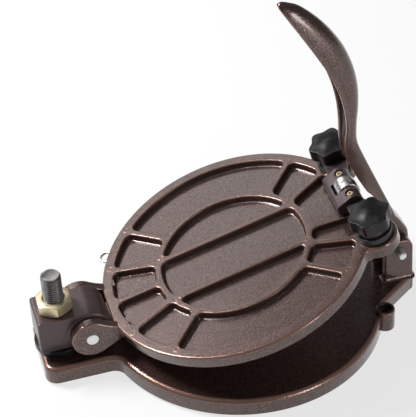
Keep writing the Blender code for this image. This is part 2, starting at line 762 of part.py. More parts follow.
def wire_place():
    """Where the wire eye's frame lies: X points out of the plate's edge, at half its height."""
    middle = Matrix.Translation((HINGE_REACH, 0.0, (PLATE_TOP + PLATE_LOW) / 2))
    return middle @ Matrix.Rotation(math.radians(WIRE_ANGLE), 4, "Z")


def spoke(radius, near, far, aside):
    """A cylinder along the wire eye's X axis, a little to one side of it."""
    made = rod(radius, near, far, steps=12)
    lie_down = Matrix.Rotation(math.radians(90.0), 4, "Y")
    made.transform(wire_place() @ Matrix.Translation((0.0, aside, 0.0)) @ lie_down)
    return made


def make_wire_eye(frame):
    """A bent wire whose two legs are pressed into the plate's edge."""
    bow = PLATE_RADIUS + WIRE_OUT - WIRE_RADIUS - WIRE_HALF
    start = PLATE_RADIUS - WIRE_SINK
    points = [(start, -WIRE_HALF)]
    points += arc((bow, 0.0), WIRE_HALF, -90.0, 90.0, 8)
    points.append((start, WIRE_HALF))
    curve = bpy.data.curves.new("wire", "CURVE")
    curve.dimensions = "3D"
    curve.bevel_depth = WIRE_RADIUS
    curve.bevel_resolution = 2
    curve.use_fill_caps = True
    spline = curve.splines.new("POLY")
    spline.points.add(len(points) - 1)
    for spot, (x, y) in zip(spline.points, points):
        spot.co = (x, y, 0.0, 1.0)
    builder = bmesh.new()
    raised = solid_from_curve(curve)
    builder.from_mesh(raised)
    bpy.data.meshes.remove(raised)
    bmesh.ops.remove_doubles(builder, verts=builder.verts, dist=1e-6)
    part("wire_eye", mesh_from(builder, wire_place()), frame, BRIGHT_STEEL)


def knob_outline():
    """Six round lobes with shallow hollows between them."""
    middle = (KNOB_RADIUS + KNOB_WAIST) / 2
    swing = (KNOB_RADIUS - KNOB_WAIST) / 2
    count = KNOB_LOBES * 6
    points = []
    for index in range(count):
        angle = 2 * math.pi * index / count
        reach = middle + swing * math.cos(KNOB_LOBES * angle)
        points.append((reach * math.cos(angle), reach * math.sin(angle)))
    return points


def spacer_foot():
    return PLATE_TOP + SEAT_GAP


def eye_low():
    return spacer_foot() + KNOB_SPACER_HEIGHT + SEAT_GAP


def knob_low():
    return eye_low() + BRIDGE_EYE_HEIGHT + SEAT_GAP


def make_knobs(frame):
    for label, way in (("near", -1), ("far", 1)):
        spot = (HINGE_REACH + KNOB_PLACE[0], KNOB_PLACE[1] * way, 0.0)
        part(f"knob_spacer_{label}", ring(KNOB_STUD_RADIUS + SEAT_GAP, KNOB_SPACER_RADIUS,
                                          spacer_foot(), spacer_foot() + KNOB_SPACER_HEIGHT, steps=28),
             frame, GREY_PLASTIC, spot)
        head = PLATE_LOW + KNOB_STUD_HEAD + SEAT_GAP
        tip = knob_low() + KNOB_STUD_GRIP
        profile = [(0.0, tip), (KNOB_STUD_RADIUS, tip), (KNOB_STUD_RADIUS, head),
                   (KNOB_STUD_HEAD_RADIUS, head), (KNOB_STUD_HEAD_RADIUS, head - KNOB_STUD_HEAD),
                   (0.0, head - KNOB_STUD_HEAD)]
        part(f"knob_stud_{label}", turned(profile, steps=24), frame, BRIGHT_STEEL, spot)
        turn_axis = new_empty(f"knob_axis_{label}", spot, frame)
        skirt_low = knob_low() + KNOB_NECK
        skirt_top = skirt_low + KNOB_SKIRT
        knob = part(f"knob_{label}", flat_solid(knob_outline(), skirt_low, skirt_top,
                                                rounding=KNOB_EDGE, steps=1), turn_axis, BLACK_PLASTIC)
        dome_reach = KNOB_WAIST - KNOB_EDGE
        dome = [(0.0, skirt_top + KNOB_DOME)]
        for index in range(1, 5):
            turn = math.radians(90.0 * index / 4)
            dome.append((dome_reach * math.sin(turn), skirt_top - KNOB_DOME_DROP
                         + (KNOB_DOME + KNOB_DOME_DROP) * math.cos(turn)))
        dome += [(dome_reach, skirt_top - KNOB_NECK), (0.0, skirt_top - KNOB_NECK)]
        join(knob, f"knob_dome_{label}", turned(dome, steps=24))
        join(knob, f"knob_neck_{label}", rod(KNOB_NECK_RADIUS, knob_low(), skirt_low + CUT_PAST,
                                            steps=24))
        cut(knob, f"knob_thread_{label}", rod(KNOB_STUD_RADIUS + SEAT_GAP, knob_low() - CUT_PAST,
                                              tip + SEAT_GAP, steps=24))


def bridge_side():
    """The bridge's middle from the side, about the axle: round cheeks and a low strap behind."""
    toe = math.degrees(math.asin(-BRIDGE_SOLE / BRIDGE_CHEEK_RADIUS))
    outline = [(-BRIDGE_BACK, -BRIDGE_SOLE)]
    outline += arc((0.0, 0.0), BRIDGE_CHEEK_RADIUS, toe, 125.0, 10)
    outline += [(-BRIDGE_BACK + BRIDGE_STRAP_EDGE, BRIDGE_STRAP_TOP),
                (-BRIDGE_BACK, BRIDGE_STRAP_TOP - BRIDGE_STRAP_EDGE)]
    return outline


def make_bridge(axle):
    """Bridge, axle and clamp screws, about the axle's middle."""
    bridge = part("roller_bridge", side_solid(bridge_side(), -BRIDGE_HALF, BRIDGE_HALF), axle,
                  CAST_BRONZE)
    drop = PLATE_TOP + ROLLER_RISE
    low = eye_low() - drop
    high = low + BRIDGE_EYE_HEIGHT
    eye = (ROLLER_BACK, KNOB_PLACE[1])
    inside = BRIDGE_HALF - BRIDGE_SHOULDER / 2
    limb = [(-BRIDGE_SHOULDER, inside), (BRIDGE_SHOULDER, inside)]
    limb += arc(eye, BRIDGE_EYE_RADIUS, -10.0, 185.0, 12)
    limbs = [flat_solid(limb, low, high),
             flat_solid([(x, -y) for x, y in reversed(limb)], low, high)]
    join(bridge, "bridge_limbs", merged(limbs))
    side = BEARING_WIDTH + 2 * SEAT_GAP
    clear = 2 * BEARING_RADIUS
    cut(bridge, "bearing_slot", block((-BRIDGE_BACK + BRIDGE_STRAP, -side, -clear),
                                      (clear, side, clear)))
    cut(bridge, "axle_bore", rod(AXLE_RADIUS + SEAT_GAP, -BRIDGE_HALF - CUT_PAST,
                                 BRIDGE_HALF + CUT_PAST, (0.0, 0.0), "Y", 24))
    sink = BRIDGE_CHEEK_RADIUS - SCREW_SINK
    bore = SCREW_RADIUS + SEAT_GAP
    hole = [(0.0, clear), (SCREW_SINK_RADIUS, clear), (SCREW_SINK_RADIUS, sink), (bore, sink),
            (bore, 0.0), (0.0, 0.0)]
    sinks = [turned(hole, centre=(0.0, SCREW_PLACE * way), steps=24) for way in (1, -1)]
    cut(bridge, "screw_holes", merged(sinks))
    eyes = [rod(KNOB_STUD_RADIUS + SEAT_GAP, low - CUT_PAST, high + CUT_PAST, (eye[0], eye[1] * way),
                steps=24) for way in (1, -1)]
    cut(bridge, "eye_bores", merged(eyes))
    reach = BRIDGE_HALF - CUT_PAST
    part("roller_axle", rod(AXLE_RADIUS, -reach, reach, (0.0, 0.0), "Y", 24), axle, BRIGHT_STEEL)
    for label, way in (("near", -1), ("far", 1)):
        foot = AXLE_RADIUS + SEAT_GAP
        crown = BRIDGE_CHEEK_RADIUS - SCREW_CROWN
        screw = part(f"clamp_screw_{label}", rod(SCREW_RADIUS, foot, crown, steps=24), axle, GOLD_ZINC,
                     (0.0, SCREW_PLACE * way, 0.0))
        cut(screw, f"screw_socket_{label}", flat_solid(hexagon(SCREW_SOCKET_FLATS),
                                                       crown - SCREW_SOCKET, crown + CUT_PAST))


def make_bearings(axle):
    """Two ball bearings side by side, which roll against the lever."""
    for label, way in (("near", -1), ("far", 1)):
        inside = SEAT_GAP / 2
        outside = inside + BEARING_WIDTH
        low, high = sorted((inside * way, outside * way))
        part(f"bearing_outer_{label}", ring(BEARING_RACE, BEARING_RADIUS, low, high, "Y", steps=30),
             axle, BRIGHT_STEEL)
        part(f"bearing_inner_{label}", ring(BEARING_BORE, BEARING_HUB, low, high, "Y", steps=20),
             axle, BRIGHT_STEEL)
        faces = {"in": low if way > 0 else high, "out": high if way > 0 else low}
        for face, level in faces.items():
            inward = 1 if level == low else -1
            start, end = sorted((level + SEAT_GAP * inward, level + (SEAT_GAP + BEARING_SHIELD) * inward))
            part(f"shield_{label}_{face}", ring(BEARING_HUB + SEAT_GAP, BEARING_RACE - SEAT_GAP,
                                                start, end, "Y", steps=16), axle, BRIGHT_STEEL)
        pitch = (BEARING_HUB + BEARING_RACE) / 2
        for index in range(BALL_COUNT):
            turn = 2 * math.pi * index / BALL_COUNT
            builder = bmesh.new()
            bmesh.ops.create_uvsphere(builder, u_segments=6, v_segments=4, radius=BALL_RADIUS)
            part(f"ball_{label}_{index + 1}", mesh_from(builder), axle, BRIGHT_STEEL,
                 (pitch * math.cos(turn), (low + high) / 2, pitch * math.sin(turn)))


def turned_about(point, angle):
    """A point in x and z swung about the origin, from X towards Z."""
    return (point[0] * math.cos(angle) - point[1] * math.sin(angle),
            point[0] * math.sin(angle) + point[1] * math.cos(angle))


def roller_reach():
    """How far the roller's axle lies from the hinge axis, along the plate."""
    return HINGE_REACH + KNOB_PLACE[0] - ROLLER_BACK


def roller_in_lever(share):
    """Where the roller's axle lies in the lever's frame, when it has made a share of its stroke."""
    rise = PLATE_TOP + ROLLER_RISE
    opened = math.radians(PLATE_OPEN_ANGLE * (1 - share))
    x, z = turned_about((roller_reach(), rise), opened)
    from_pivot = (x - HINGE_REACH - PIVOT_REACH, z + HINGE_Z - PIVOT_Z)
    return turned_about(from_pivot, -math.radians(LEVER_STROKE * share))


# The cam face begins at this share of the lever's stroke; its slope is taken over CAM_STEP of it.
CAM_START = 0.14
CAM_STEP = 0.001


def cam_face(first, last, steps):
    """The lever's inner face: the roller's path in the lever's frame, moved out by its radius."""
    reach = BEARING_RADIUS + ROLLER_CLEARANCE
    points = []
    for index in range(steps + 1):
        share = first + (last - first) * index / steps
        here = Vector(roller_in_lever(share))
        ahead = Vector(roller_in_lever(share + CAM_STEP))
        way = (ahead - here).normalized()
        spot = here + Vector((-way.y, way.x)) * reach
        points.append((spot.x, spot.y))
    return points


# Points of the lever from the side, as shares of its length: the arm above the cam face and behind
# it, then the grip's back and its rims, from the arm up to the tip.
ARM_TOP = ((-0.172, 0.432), (-0.162, 0.376), (-0.139, 0.320))
ARM_BACK = ((0.044, 0.049), (0.026, 0.079), (0.002, 0.116),
            (-0.123, 0.418), (-0.134, 0.453))
GRIP_BACK = ((-0.120, 0.415), (-0.135, 0.471), (-0.135, 0.531), (-0.130, 0.598),
             (-0.131, 0.668), (-0.148, 0.745), (-0.183, 0.826), (-0.239, 0.907),
             (-0.302, 0.970), (-0.359, 1.000))
GRIP_RIM = ((-0.165, 0.397), (-0.176, 0.453), (-0.175, 0.513), (-0.181, 0.580),
            (-0.199, 0.654), (-0.228, 0.731), (-0.267, 0.805), (-0.306, 0.872),
            (-0.346, 0.938), (-0.374, 0.984))
# The grip's half width as a share of the arm's, its squareness and how hollow it is.
GRIP_HALF = (0.98, 1.08, 1.32, 1.48, 1.52, 1.48, 1.36, 1.16, 0.88, 0.40)


def scaled(shares):
    return [(x * LEVER_LENGTH, z * LEVER_LENGTH) for x, z in shares]


def lever_arm_outline():
    """The lever's arm from the side, about the pivot: heel, straight back and cam face."""
    outline = scaled(ARM_TOP)
    outline += cam_face(CAM_START, 1.0, 10)
    outline += arc((0.0, 0.0), LEVER_HEEL, 165.0, 380.0, 18)
    outline += scaled(ARM_BACK)
    return outline


def blend_between(values, share):
    """A smooth curve through evenly spaced values (Catmull-Rom)."""
    place = share * (len(values) - 1)
    index = min(int(place), len(values) - 2)
    t = place - index
    p0 = values[max(index - 1, 0)]
    p1 = values[index]
    p2 = values[index + 1]
    p3 = values[min(index + 2, len(values) - 1)]
    return 0.5 * (2 * p1 + (p2 - p0) * t + (2 * p0 - 5 * p1 + 4 * p2 - p3) * t * t
                  + (3 * p1 - 3 * p2 + p3 - p0) * t ** 3)


GRIP_SQUARE = (5.0, 4.5, 3.6, 3.0, 2.6, 2.4, 2.3, 2.2, 2.1, 2.0)
GRIP_HOLLOW = (0.02, 0.30, 0.62, 0.72, 0.78, 0.80, 0.80, 0.78, 0.70, 0.40)
# Near the tip the wall is at most this share of the half width.
WALL_LIMIT = 0.45
GRIP_STATIONS = 18
GRIP_POINTS = 10


def grip_section(share):
    """One section of the grip: a hollow channel, round at the back and open towards the plate."""
    back = Vector([blend_between([p[axis] for p in scaled(GRIP_BACK)], share) for axis in (0, 1)])
    rim = Vector([blend_between([p[axis] for p in scaled(GRIP_RIM)], share) for axis in (0, 1)])
    half = blend_between(GRIP_HALF, share) * LEVER_HALF
    square = blend_between(GRIP_SQUARE, share)
    hollow = blend_between(GRIP_HOLLOW, share)
    depth = back - rim
    loop = []
    for index in range(GRIP_POINTS + 1):
        turn = math.pi * index / GRIP_POINTS
        aside = math.copysign(abs(math.cos(turn)) ** (2 / square), math.cos(turn))
        inward = max(math.sin(turn), 0.0) ** (2 / square)
        spot = rim + depth * inward
        loop.append((spot.x, half * aside, spot.y))
    wall = min(GRIP_WALL, half * WALL_LIMIT)
    for index in range(GRIP_POINTS + 1):
        turn = math.pi * (1 - index / GRIP_POINTS)
        aside = math.copysign(abs(math.cos(turn)) ** (2 / square), math.cos(turn))
        inward = max(math.sin(turn), 0.0) ** (2 / square)
        spot = rim + depth * inward * hollow
        loop.append((spot.x, (half - wall) * aside, spot.y))
    return loop


def grip_mesh():
    """The sections of the grip skinned one to the next, with both ends closed."""
    builder = bmesh.new()
    rings = []
    for index in range(GRIP_STATIONS + 1):
        section = grip_section(index / GRIP_STATIONS)
        rings.append([builder.verts.new(point) for point in section])
    count = len(rings[0])
    for first, second in zip(rings, rings[1:]):
        for index in range(count):
            after = (index + 1) % count
            builder.faces.new((first[index], first[after], second[after], second[index]))
    builder.faces.new(rings[0])
    builder.faces.new(rings[-1])
    return mesh_from(builder)


def make_lever(pivot, frame):
    arm = side_solid(lever_arm_outline(), -LEVER_HALF, LEVER_HALF)
    lever = part("lever", arm, pivot, CAST_BRONZE)
    join(lever, "lever_grip", grip_mesh())
    bush_outer = LEVER_PIN_RADIUS + PIN_FIT + LEVER_BUSH_WALL
    cut(lever, "lever_bore", rod(bush_outer + SEAT_GAP, -LEVER_HALF - CUT_PAST,
                                 LEVER_HALF + CUT_PAST, (0.0, 0.0), "Y"))
    part("lever_bush", ring(LEVER_PIN_RADIUS + PIN_FIT, bush_outer, -LEVER_HALF, LEVER_HALF, "Y",
                            steps=24), pivot, BRONZE_BUSH)
    axis = (PIVOT_REACH, PIVOT_Z)
    pin = part("lever_pin", rod(LEVER_PIN_RADIUS, -LEVER_PIN_NEAR, LEVER_PIN_FAR, axis, "Y", 24), frame,
               BRIGHT_STEEL)
    clip_low = FORK_OUTER + SEAT_GAP
    neck = LEVER_PIN_RADIUS - CLIP_GROOVE
    cut(pin, "clip_groove", ring(neck, LEVER_PIN_RADIUS + CUT_PAST, clip_low - SEAT_GAP / 2,
                                 clip_low + CLIP_THICK + SEAT_GAP, "Y", axis, 24))
    part("pin_clip", ring(neck + SEAT_GAP, CLIP_RADIUS, clip_low, clip_low + CLIP_THICK, "Y", axis, 24),
         frame, BRIGHT_STEEL)


def main():
    base_frame = new_empty("press_base", (CENTRE_X, 0.0, FOOT_DROP))
    hinge = new_empty("plate_hinge_axis", (-HINGE_REACH, 0.0, HINGE_Z), base_frame,
                      -math.radians(PLATE_OPEN_ANGLE))
    axle = new_empty("roller_axis", (roller_reach(), 0.0, PLATE_TOP + ROLLER_RISE), hinge)
    pivot = new_empty("lever_pivot_axis", (PIVOT_REACH, 0.0, PIVOT_Z), base_frame)
    make_base(base_frame)
    make_feet(base_frame)
    make_height_stack(base_frame)
    make_plate(hinge)
    make_wire_eye(hinge)
    make_knobs(hinge)
    make_bridge(axle)
    make_bearings(axle)
    make_lever(pivot, base_frame)


clear_scene()
PARTS = new_collection("tortilla_press")
CUTTERS = new_collection("cutters")
main()
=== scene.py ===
"""Dress the tortilla press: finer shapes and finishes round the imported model, and its studio."""

import json
import math

import bmesh
import bpy
import numpy as np
from bpy.props import FloatProperty, FloatVectorProperty, IntProperty, PointerProperty
from bpy.types import Operator, Panel, PropertyGroup
from mathutils import Matrix, Vector
from mathutils.geometry import delaunay_2d_cdt


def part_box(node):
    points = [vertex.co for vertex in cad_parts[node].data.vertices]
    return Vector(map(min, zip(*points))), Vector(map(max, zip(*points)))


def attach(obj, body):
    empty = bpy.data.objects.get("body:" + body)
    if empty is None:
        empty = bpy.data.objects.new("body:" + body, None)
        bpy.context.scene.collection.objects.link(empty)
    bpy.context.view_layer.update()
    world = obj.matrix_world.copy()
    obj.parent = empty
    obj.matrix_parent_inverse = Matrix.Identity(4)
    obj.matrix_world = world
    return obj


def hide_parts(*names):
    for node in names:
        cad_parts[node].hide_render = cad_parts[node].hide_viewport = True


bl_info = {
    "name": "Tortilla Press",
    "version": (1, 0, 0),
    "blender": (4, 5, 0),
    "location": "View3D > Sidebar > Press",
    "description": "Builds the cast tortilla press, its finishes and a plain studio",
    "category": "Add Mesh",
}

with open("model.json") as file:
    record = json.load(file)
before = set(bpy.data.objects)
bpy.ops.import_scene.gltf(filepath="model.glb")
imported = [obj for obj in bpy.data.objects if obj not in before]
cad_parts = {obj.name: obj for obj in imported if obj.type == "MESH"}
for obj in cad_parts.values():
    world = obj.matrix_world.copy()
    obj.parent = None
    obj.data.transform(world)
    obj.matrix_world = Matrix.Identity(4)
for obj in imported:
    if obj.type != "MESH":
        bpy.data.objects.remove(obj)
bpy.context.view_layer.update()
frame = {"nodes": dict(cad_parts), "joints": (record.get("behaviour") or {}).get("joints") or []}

JOINTS = {joint["name"]: joint for joint in frame["joints"]}


def settings():
    """The sizes and colours that the operators read."""
    return bpy.context.scene.tortilla_press


def length(name, description, default):
    """A length setting in metres."""
    return FloatProperty(name=name, description=description, default=default, unit="LENGTH",
                         min=-1.0, max=1.0, precision=5)


def place_xy(name, description, default):
    """A setting of a place in x and y, in metres."""
    return FloatVectorProperty(name=name, description=description, size=2, subtype="TRANSLATION",
                               default=default)


def degrees(name, description, default):
    """An angle setting in degrees."""
    return FloatProperty(name=name, description=description + ", in degrees", default=default)


def tint(name, description, default):
    """A colour setting."""
    return FloatVectorProperty(name=name, description=description, subtype="COLOR", size=3, min=0.0,
                               max=1.0, default=default)


class PlateSettings(PropertyGroup):
    """Sizes of the top plate. Heights are taken from the hinge axis."""

    hinge_reach: length("Hinge Reach", "From the hinge axis to the plate's middle", 0.1483)
    radius: length("Radius", "Half the plate's width", 0.127)
    top: length("Top", "Height of the ribs' tops", 0.0026)
    low: length("Underside", "Height of the rim's underside", -0.0100)
    press: length("Press Radius", "Radius of the pressing face", 0.122)
    press_low: length("Press Face", "Height of the pressing face", -0.01475)
    press_edge: length("Press Edge", "Rounds at the pressing face's foot and edge", 0.001)
    edge: length("Top Edge", "Round of the rim's top edge", 0.0022)
    under: length("Lower Edge", "Round of the rim's lower edge", 0.0012)
    trim: length("Left Trim", "Where the plate ends beside the hinge barrel", 0.0229)
    depth: length("Pocket Depth", "Depth of the pockets", 0.0063)
    corner: length("Pocket Corner", "Round of the pockets' corners", 0.006)
    rib: length("Rib Width", "Width of the ribs", 0.006)
    rim: length("Rim Width", "Width of the rim", 0.0105)
    ring: length("Rib Ring", "Radius of the ring rib", 0.072)
    bar: length("Bar Offset", "From the middle to each straight bar", 0.0265)
    bare_width: length("Bare Width", "Width of the flat before the roller bridge", 0.025)
    rib_angles: FloatVectorProperty(name="Rib Angles",
                                    description="Angles of the radial ribs in degrees", size=4,
                                    default=(25.0, 45.0, 135.0, 159.5))
    lip: length("Rib Edge", "Round of the ribs' top edges", 0.0012)
    fillet: length("Rib Foot", "Hollow round at the ribs' feet", 0.0016)
    draft: degrees("Draft", "Lean of the pocket walls", 12.0)
    knob_place: place_xy("Knob Place", "The far knob from the plate's middle", (0.122, 0.054))
    ear_radius: length("Ear Radius", "Radius of the knob ears", 0.020)
    ear_root: length("Ear Root", "Hollow round where an ear meets the rim", 0.008)
    pin_mark: length("Pin Mark", "Radius of the mould pins' rings", 0.0026)
    eye: length("Hinge Eye", "Radius of the hinge arms' eyes", 0.019)
    arm_inner: length("Arm Inside", "Inner side of the hinge arms", 0.022)
    arm_outer: length("Arm Outside", "Outer side of the hinge arms", 0.031)
    arm_root: length("Arm Root", "Where a hinge arm meets the plate", 0.036)
    arm_leave: degrees("Arm Leave", "Angle on the eye where the arm's top leaves it", 42.0)
    arm_flat: length("Arm Flat", "Where an arm's top has sunk to the plate's", 0.027)
    arm_edge: length("Arm Edge", "Round of the hinge arms' edges", 0.0014)
    pin: length("Pin Hole", "Radius of the hinge pin's hole", 0.0061)
    stud_hole: length("Stud Hole", "Radius of the knob studs' holes", 0.0043)
    stud_sink: length("Stud Sink", "Depth of the stud heads' seats in the underside", 0.0048)
    stud_seat: length("Stud Seat", "How far a seat is wider than its hole", 0.0035)


class BaseSettings(PropertyGroup):
    """Sizes of the base, taken from the middle of its round table."""

    radius: length("Radius", "Half the table's width", 0.1325)
    height: length("Height", "Height of the table's top", 0.0175)
    edge: length("Top Edge", "Round of the top edge", 0.0045)
    rim: length("Rim", "Width of the rim on the underside", 0.007)
    rib: length("Rib", "Width of the ribs on the underside", 0.006)
    ring: length("Rib Ring", "Radius of the ring rib on the underside", 0.066)
    relief: length("Relief", "Depth of the hollows on the underside", 0.0034)
    rib_count: IntProperty(name="Ribs", description="Radial ribs on the underside", default=8)
    rib_turn: degrees("Rib Turn", "Angle of the first rib on the underside", 22.5)
    rib_corner: length("Rib Corner", "Round of the hollows' corners", 0.006)
    hinge_lug: length("Hinge Lug", "Where the left lug ends", 0.195)
    lug_half: length("Lug Half Width", "Half the left lug's width", 0.037)
    lug_corner: length("Lug Corner", "Round of the left lug's corners", 0.012)
    lug_root: length("Lug Root", "Hollow round where the left lug meets the table", 0.012)
    lever_lug: length("Lever Lug", "Where the right lug ends", 0.166)
    lever_half: length("Lever Lug Half Width", "Half the right lug's width", 0.020)
    lever_corner: length("Lever Lug Corner", "Round of the right lug's corners", 0.006)
    lever_angle: degrees("Lever Lug Angle", "Where the right lug leaves the table", 20.6)
    pivot_reach: length("Pivot Reach", "From the middle to the lever's pivot", 0.149)
    pivot_height: length("Pivot Height", "Height of the lever's pivot", 0.053)
    cheek_inner: length("Cheek Inside", "Inner side of the lever's cheeks", 0.011)
    cheek_outer: length("Cheek Outside", "Outer side of the lever's cheeks", 0.020)
    cheek_corner: length("Cheek Corner", "Round of the cheeks' top corners", 0.010)
    cheek_edge: length("Cheek Edge", "Round of the cheeks' edges", 0.0014)
    cheek_foot: length("Cheek Foot", "Hollow round at the cheeks' feet", 0.003)
    cheek_back: length("Cheek Back", "From the pivot to the cheeks' left side", 0.013)
    cheek_ahead: length("Cheek Ahead", "From the pivot to the cheeks' right side", 0.014)
    cheek_over: length("Cheek Over", "From the pivot to the cheeks' top", 0.0107)
    pin_hole: length("Pin Hole", "Radius of the lever pin's hole", 0.0043)
    boss: length("Boss Radius", "Radius of the bolt bosses", 0.009)
    boss_height: length("Boss Height", "Height of the bolt bosses", 0.022)
    boss_reach: length("Boss Reach", "From the middle to a bolt boss", 0.135)
    boss_angle: degrees("Boss Angle", "Angle of the bolt bosses", 25.73)
    boss_edge: length("Boss Edge", "Round of the bolt bosses' top edge", 0.0014)
    boss_bore: length("Boss Bore", "Radius of the bolt holes", 0.0032)
    boss_sink: length("Boss Sink", "Depth of the bolt heads' seats", 0.004)
    foot_reach: length("Foot Reach", "From the middle to a rubber foot", 0.110)
    foot_angle: degrees("Foot Angle", "Angle of the far right foot", 40.0)


class LeverSettings(PropertyGroup):
    """Sizes of the lever that its table of sections leaves open."""

    roller: length("Roller Radius", "Radius of the roller that the lever presses", 0.011)
    clearance: length("Roller Clearance", "Gap between roller and lever", 0.0010)
    wall: length("Grip Wall", "Thickness of the grip's wall", 0.004)
    edge: length("Edge Round", "Round of the rims", 0.0012)
    stroke: degrees("Stroke", "Turn of the lever from rest to the closed press", 28.0)


class KnobSettings(PropertyGroup):
    """Sizes of the star knobs and their spacers. Heights are taken from the hinge axis."""

    radius: length("Radius", "Reach of the lobes", 0.020)
    waist: length("Waist", "Reach of the hollows", 0.0168)
    sharpness: FloatProperty(name="Hollow Sharpness", description="Narrows the hollows",
                             default=0.9)
    low: length("Foot", "Height of the knob's foot", 0.01785)
    neck: length("Neck", "Radius of the neck", 0.0115)
    neck_height: length("Neck Height", "Height of the neck", 0.002)
    skirt: length("Skirt", "Height of the lobes", 0.0095)
    cup: length("Cup", "How far the lobes hang round the neck", 0.0034)
    cup_radius: length("Cup Radius", "Radius of the hollow round the neck", 0.0146)
    dome: length("Dome", "Rise of the middle", 0.0025)
    edge: length("Edge", "Round of the lobes' top edge", 0.0009)
    spacer: length("Spacer Radius", "Radius of the grey spacers", 0.0165)
    spacer_low: length("Spacer Foot", "Height of the spacer's foot", 0.0029)
    spacer_height: length("Spacer Height", "Thickness of the grey spacers", 0.00635)
    spacer_bore: length("Spacer Bore", "Radius of the grey spacers' hole", 0.0043)
    spacer_edge: length("Spacer Edge", "Round of the grey spacers' edges", 0.0006)


class StackSettings(PropertyGroup):
    """Sizes of the height stud, its nut and its spacer."""

    stud: length("Stud Radius", "Radius of the stud", 0.0094)
    pitch: length("Pitch", "Rise of one turn of the thread", 0.0025)
    thread: length("Thread Depth", "Depth of the thread", 0.0012)
    chamfer: length("Chamfer", "Chamfer of the stud's end", 0.0015)
    nut_flats: length("Nut Flats", "Width of nut and head across flats", 0.030)
    spacer: length("Spacer Radius", "Radius of the black spacer", 0.0225)
    spacer_room: length("Spacer Room", "Gap between stud and spacer", 0.0006)
    spacer_edge: length("Spacer Edge", "Round of the spacer's edges", 0.0007)


class BlockSettings(PropertyGroup):
    """Sizes of the hinge block."""

    barrel: length("Barrel Radius", "Radius of the hinge barrel", 0.0216)
    half: length("Half Width", "Half the block's width", 0.020)
    edge: length("Edge", "Round of the block's edges", 0.0012)
    corner: length("Corner", "Round of the block's left corners", 0.003)
    bush: length("Bush Bore", "Radius of the bore for the bush", 0.0085)


class PinSettings(PropertyGroup):
    """Radii of the turned pins."""

    hinge: length("Hinge Pin", "Radius of the hinge pin", 0.0061)
    lever: length("Lever Pin", "Radius of the lever's pin", 0.004)
    axle: length("Axle", "Radius of the roller's axle", 0.0037)


class RollerSettings(PropertyGroup):
    """Sizes of the roller's rings and the clamp screws, taken from the axle."""

    radius: length("Ring Radius", "Outer radius of the rings", 0.011)
    race: length("Race Radius", "Inner radius of the rings", 0.0094)
    width: length("Ring Width", "Width of a ring", 0.007)
    gap: length("Gap", "Half the gap between the rings", 0.00015)
    screw: length("Screw Radius", "Radius of the clamp screws", 0.0028)
    screw_place: length("Screw Place", "From the middle to a clamp screw", 0.015)
    screw_foot: length("Screw Foot", "Height of a screw's foot", 0.004)
    screw_crown: length("Screw Crown", "Height of a screw's top", 0.0085)
    socket: length("Socket", "Width of the screws' sockets across flats", 0.003)
    bridge_edge: length("Bridge Edge", "Round of the bridge's edges", 0.0007)


class WireSettings(PropertyGroup):
    """Sizes of the wire eye."""

    radius: length("Wire Radius", "Half the wire's thickness", 0.0014)
    half: length("Half Width", "Half the width between the legs", 0.0058)
    out: length("Reach", "How far the eye stands out of the plate's edge", 0.0118)
    sink: length("Sink", "How far the legs are let in", 0.005)
    angle: FloatProperty(name="Angle", description="Where on the plate's edge the eye sits",
                         subtype="ANGLE", default=math.radians(148.2))


class FinishSettings(PropertyGroup):
    """Colours and grain of the finishes."""

    coat: tint("Cast Coat", "Bronze-brown powder coat", (0.034, 0.016, 0.013))
    # Lighter flecks of the cast coat; on the hinge block the same colour is the painted highlight
    # along its edges.
    fleck_and_highlight: tint("Coat Fleck", "Lighter flecks in the coat", (0.20, 0.118, 0.104))
    # The colour of the painted highlight along the cast coat's edges.
    edge_highlight: tint("Coat Edge", "Coppery coat on the edges", (0.36, 0.19, 0.14))
    grain: FloatProperty(name="Coat Grain", description="Width of one dimple of the coat",
                         unit="LENGTH", default=0.0013, min=0.0002, max=0.01)
    block: tint("Block Coat", "Darker coat of the hinge block", (0.075, 0.052, 0.056))
    black: tint("Knob Black", "Moulded black of the knobs", (0.006, 0.006, 0.007))
    grey: tint("Spacer Grey", "Dark grey of the knob spacers", (0.026, 0.027, 0.030))
    steel: tint("Bright Steel", "Turned steel of stud and pins", (0.30, 0.29, 0.285))
    zinc: tint("Yellow Zinc", "Gold plating of the nut", (0.50, 0.36, 0.18))
    zinc_rose: tint("Zinc Rose", "Rosy film in the plating", (0.52, 0.28, 0.21))


class StudioSettings(PropertyGroup):
    """Camera, floor and lamps."""

    azimuth: FloatProperty(name="Camera Azimuth", description="Turn of the camera about Z",
                           subtype="ANGLE", default=math.radians(-13.6625))
    elevation: FloatProperty(name="Camera Elevation", description="Height angle of the camera",
                             subtype="ANGLE", default=math.radians(39.5497))
    roll: FloatProperty(name="Camera Roll", description="Turn of the camera about its sight",
                        subtype="ANGLE", default=math.radians(-3.41965))
    distance: FloatProperty(name="Camera Distance", description="From the camera to its target",
                            unit="LENGTH", default=1.74568, min=0.1)
    target: FloatVectorProperty(name="Camera Target", description="Where the sight meets the floor",
                                subtype="TRANSLATION", size=3, default=(0.027665, 0.159713, 0.002))
    lens: FloatProperty(name="Lens", description="Focal length in millimetres on a 36 mm frame",
                        default=148.254, min=10.0)
    floor: tint("Floor", "White of the floor and backdrop", (0.90, 0.90, 0.90))
    ambient: FloatProperty(name="Ambient", description="Strength of the light from all round",
                           default=0.22, min=0.0)


class PressSettings(PropertyGroup):
    """All settings of the press."""

    plate: PointerProperty(type=PlateSettings)
    base: PointerProperty(type=BaseSettings)
    lever: PointerProperty(type=LeverSettings)
    knob: PointerProperty(type=KnobSettings)
    stack: PointerProperty(type=StackSettings)
    block: PointerProperty(type=BlockSettings)
    pins: PointerProperty(type=PinSettings)
    roller: PointerProperty(type=RollerSettings)
    wire: PointerProperty(type=WireSettings)
    finish: PointerProperty(type=FinishSettings)
    studio: PointerProperty(type=StudioSettings)


def new_tree(material):
    """The emptied node tree of a material or a world."""
    material.use_nodes = True
    tree = material.node_tree
    tree.nodes.clear()
    return tree


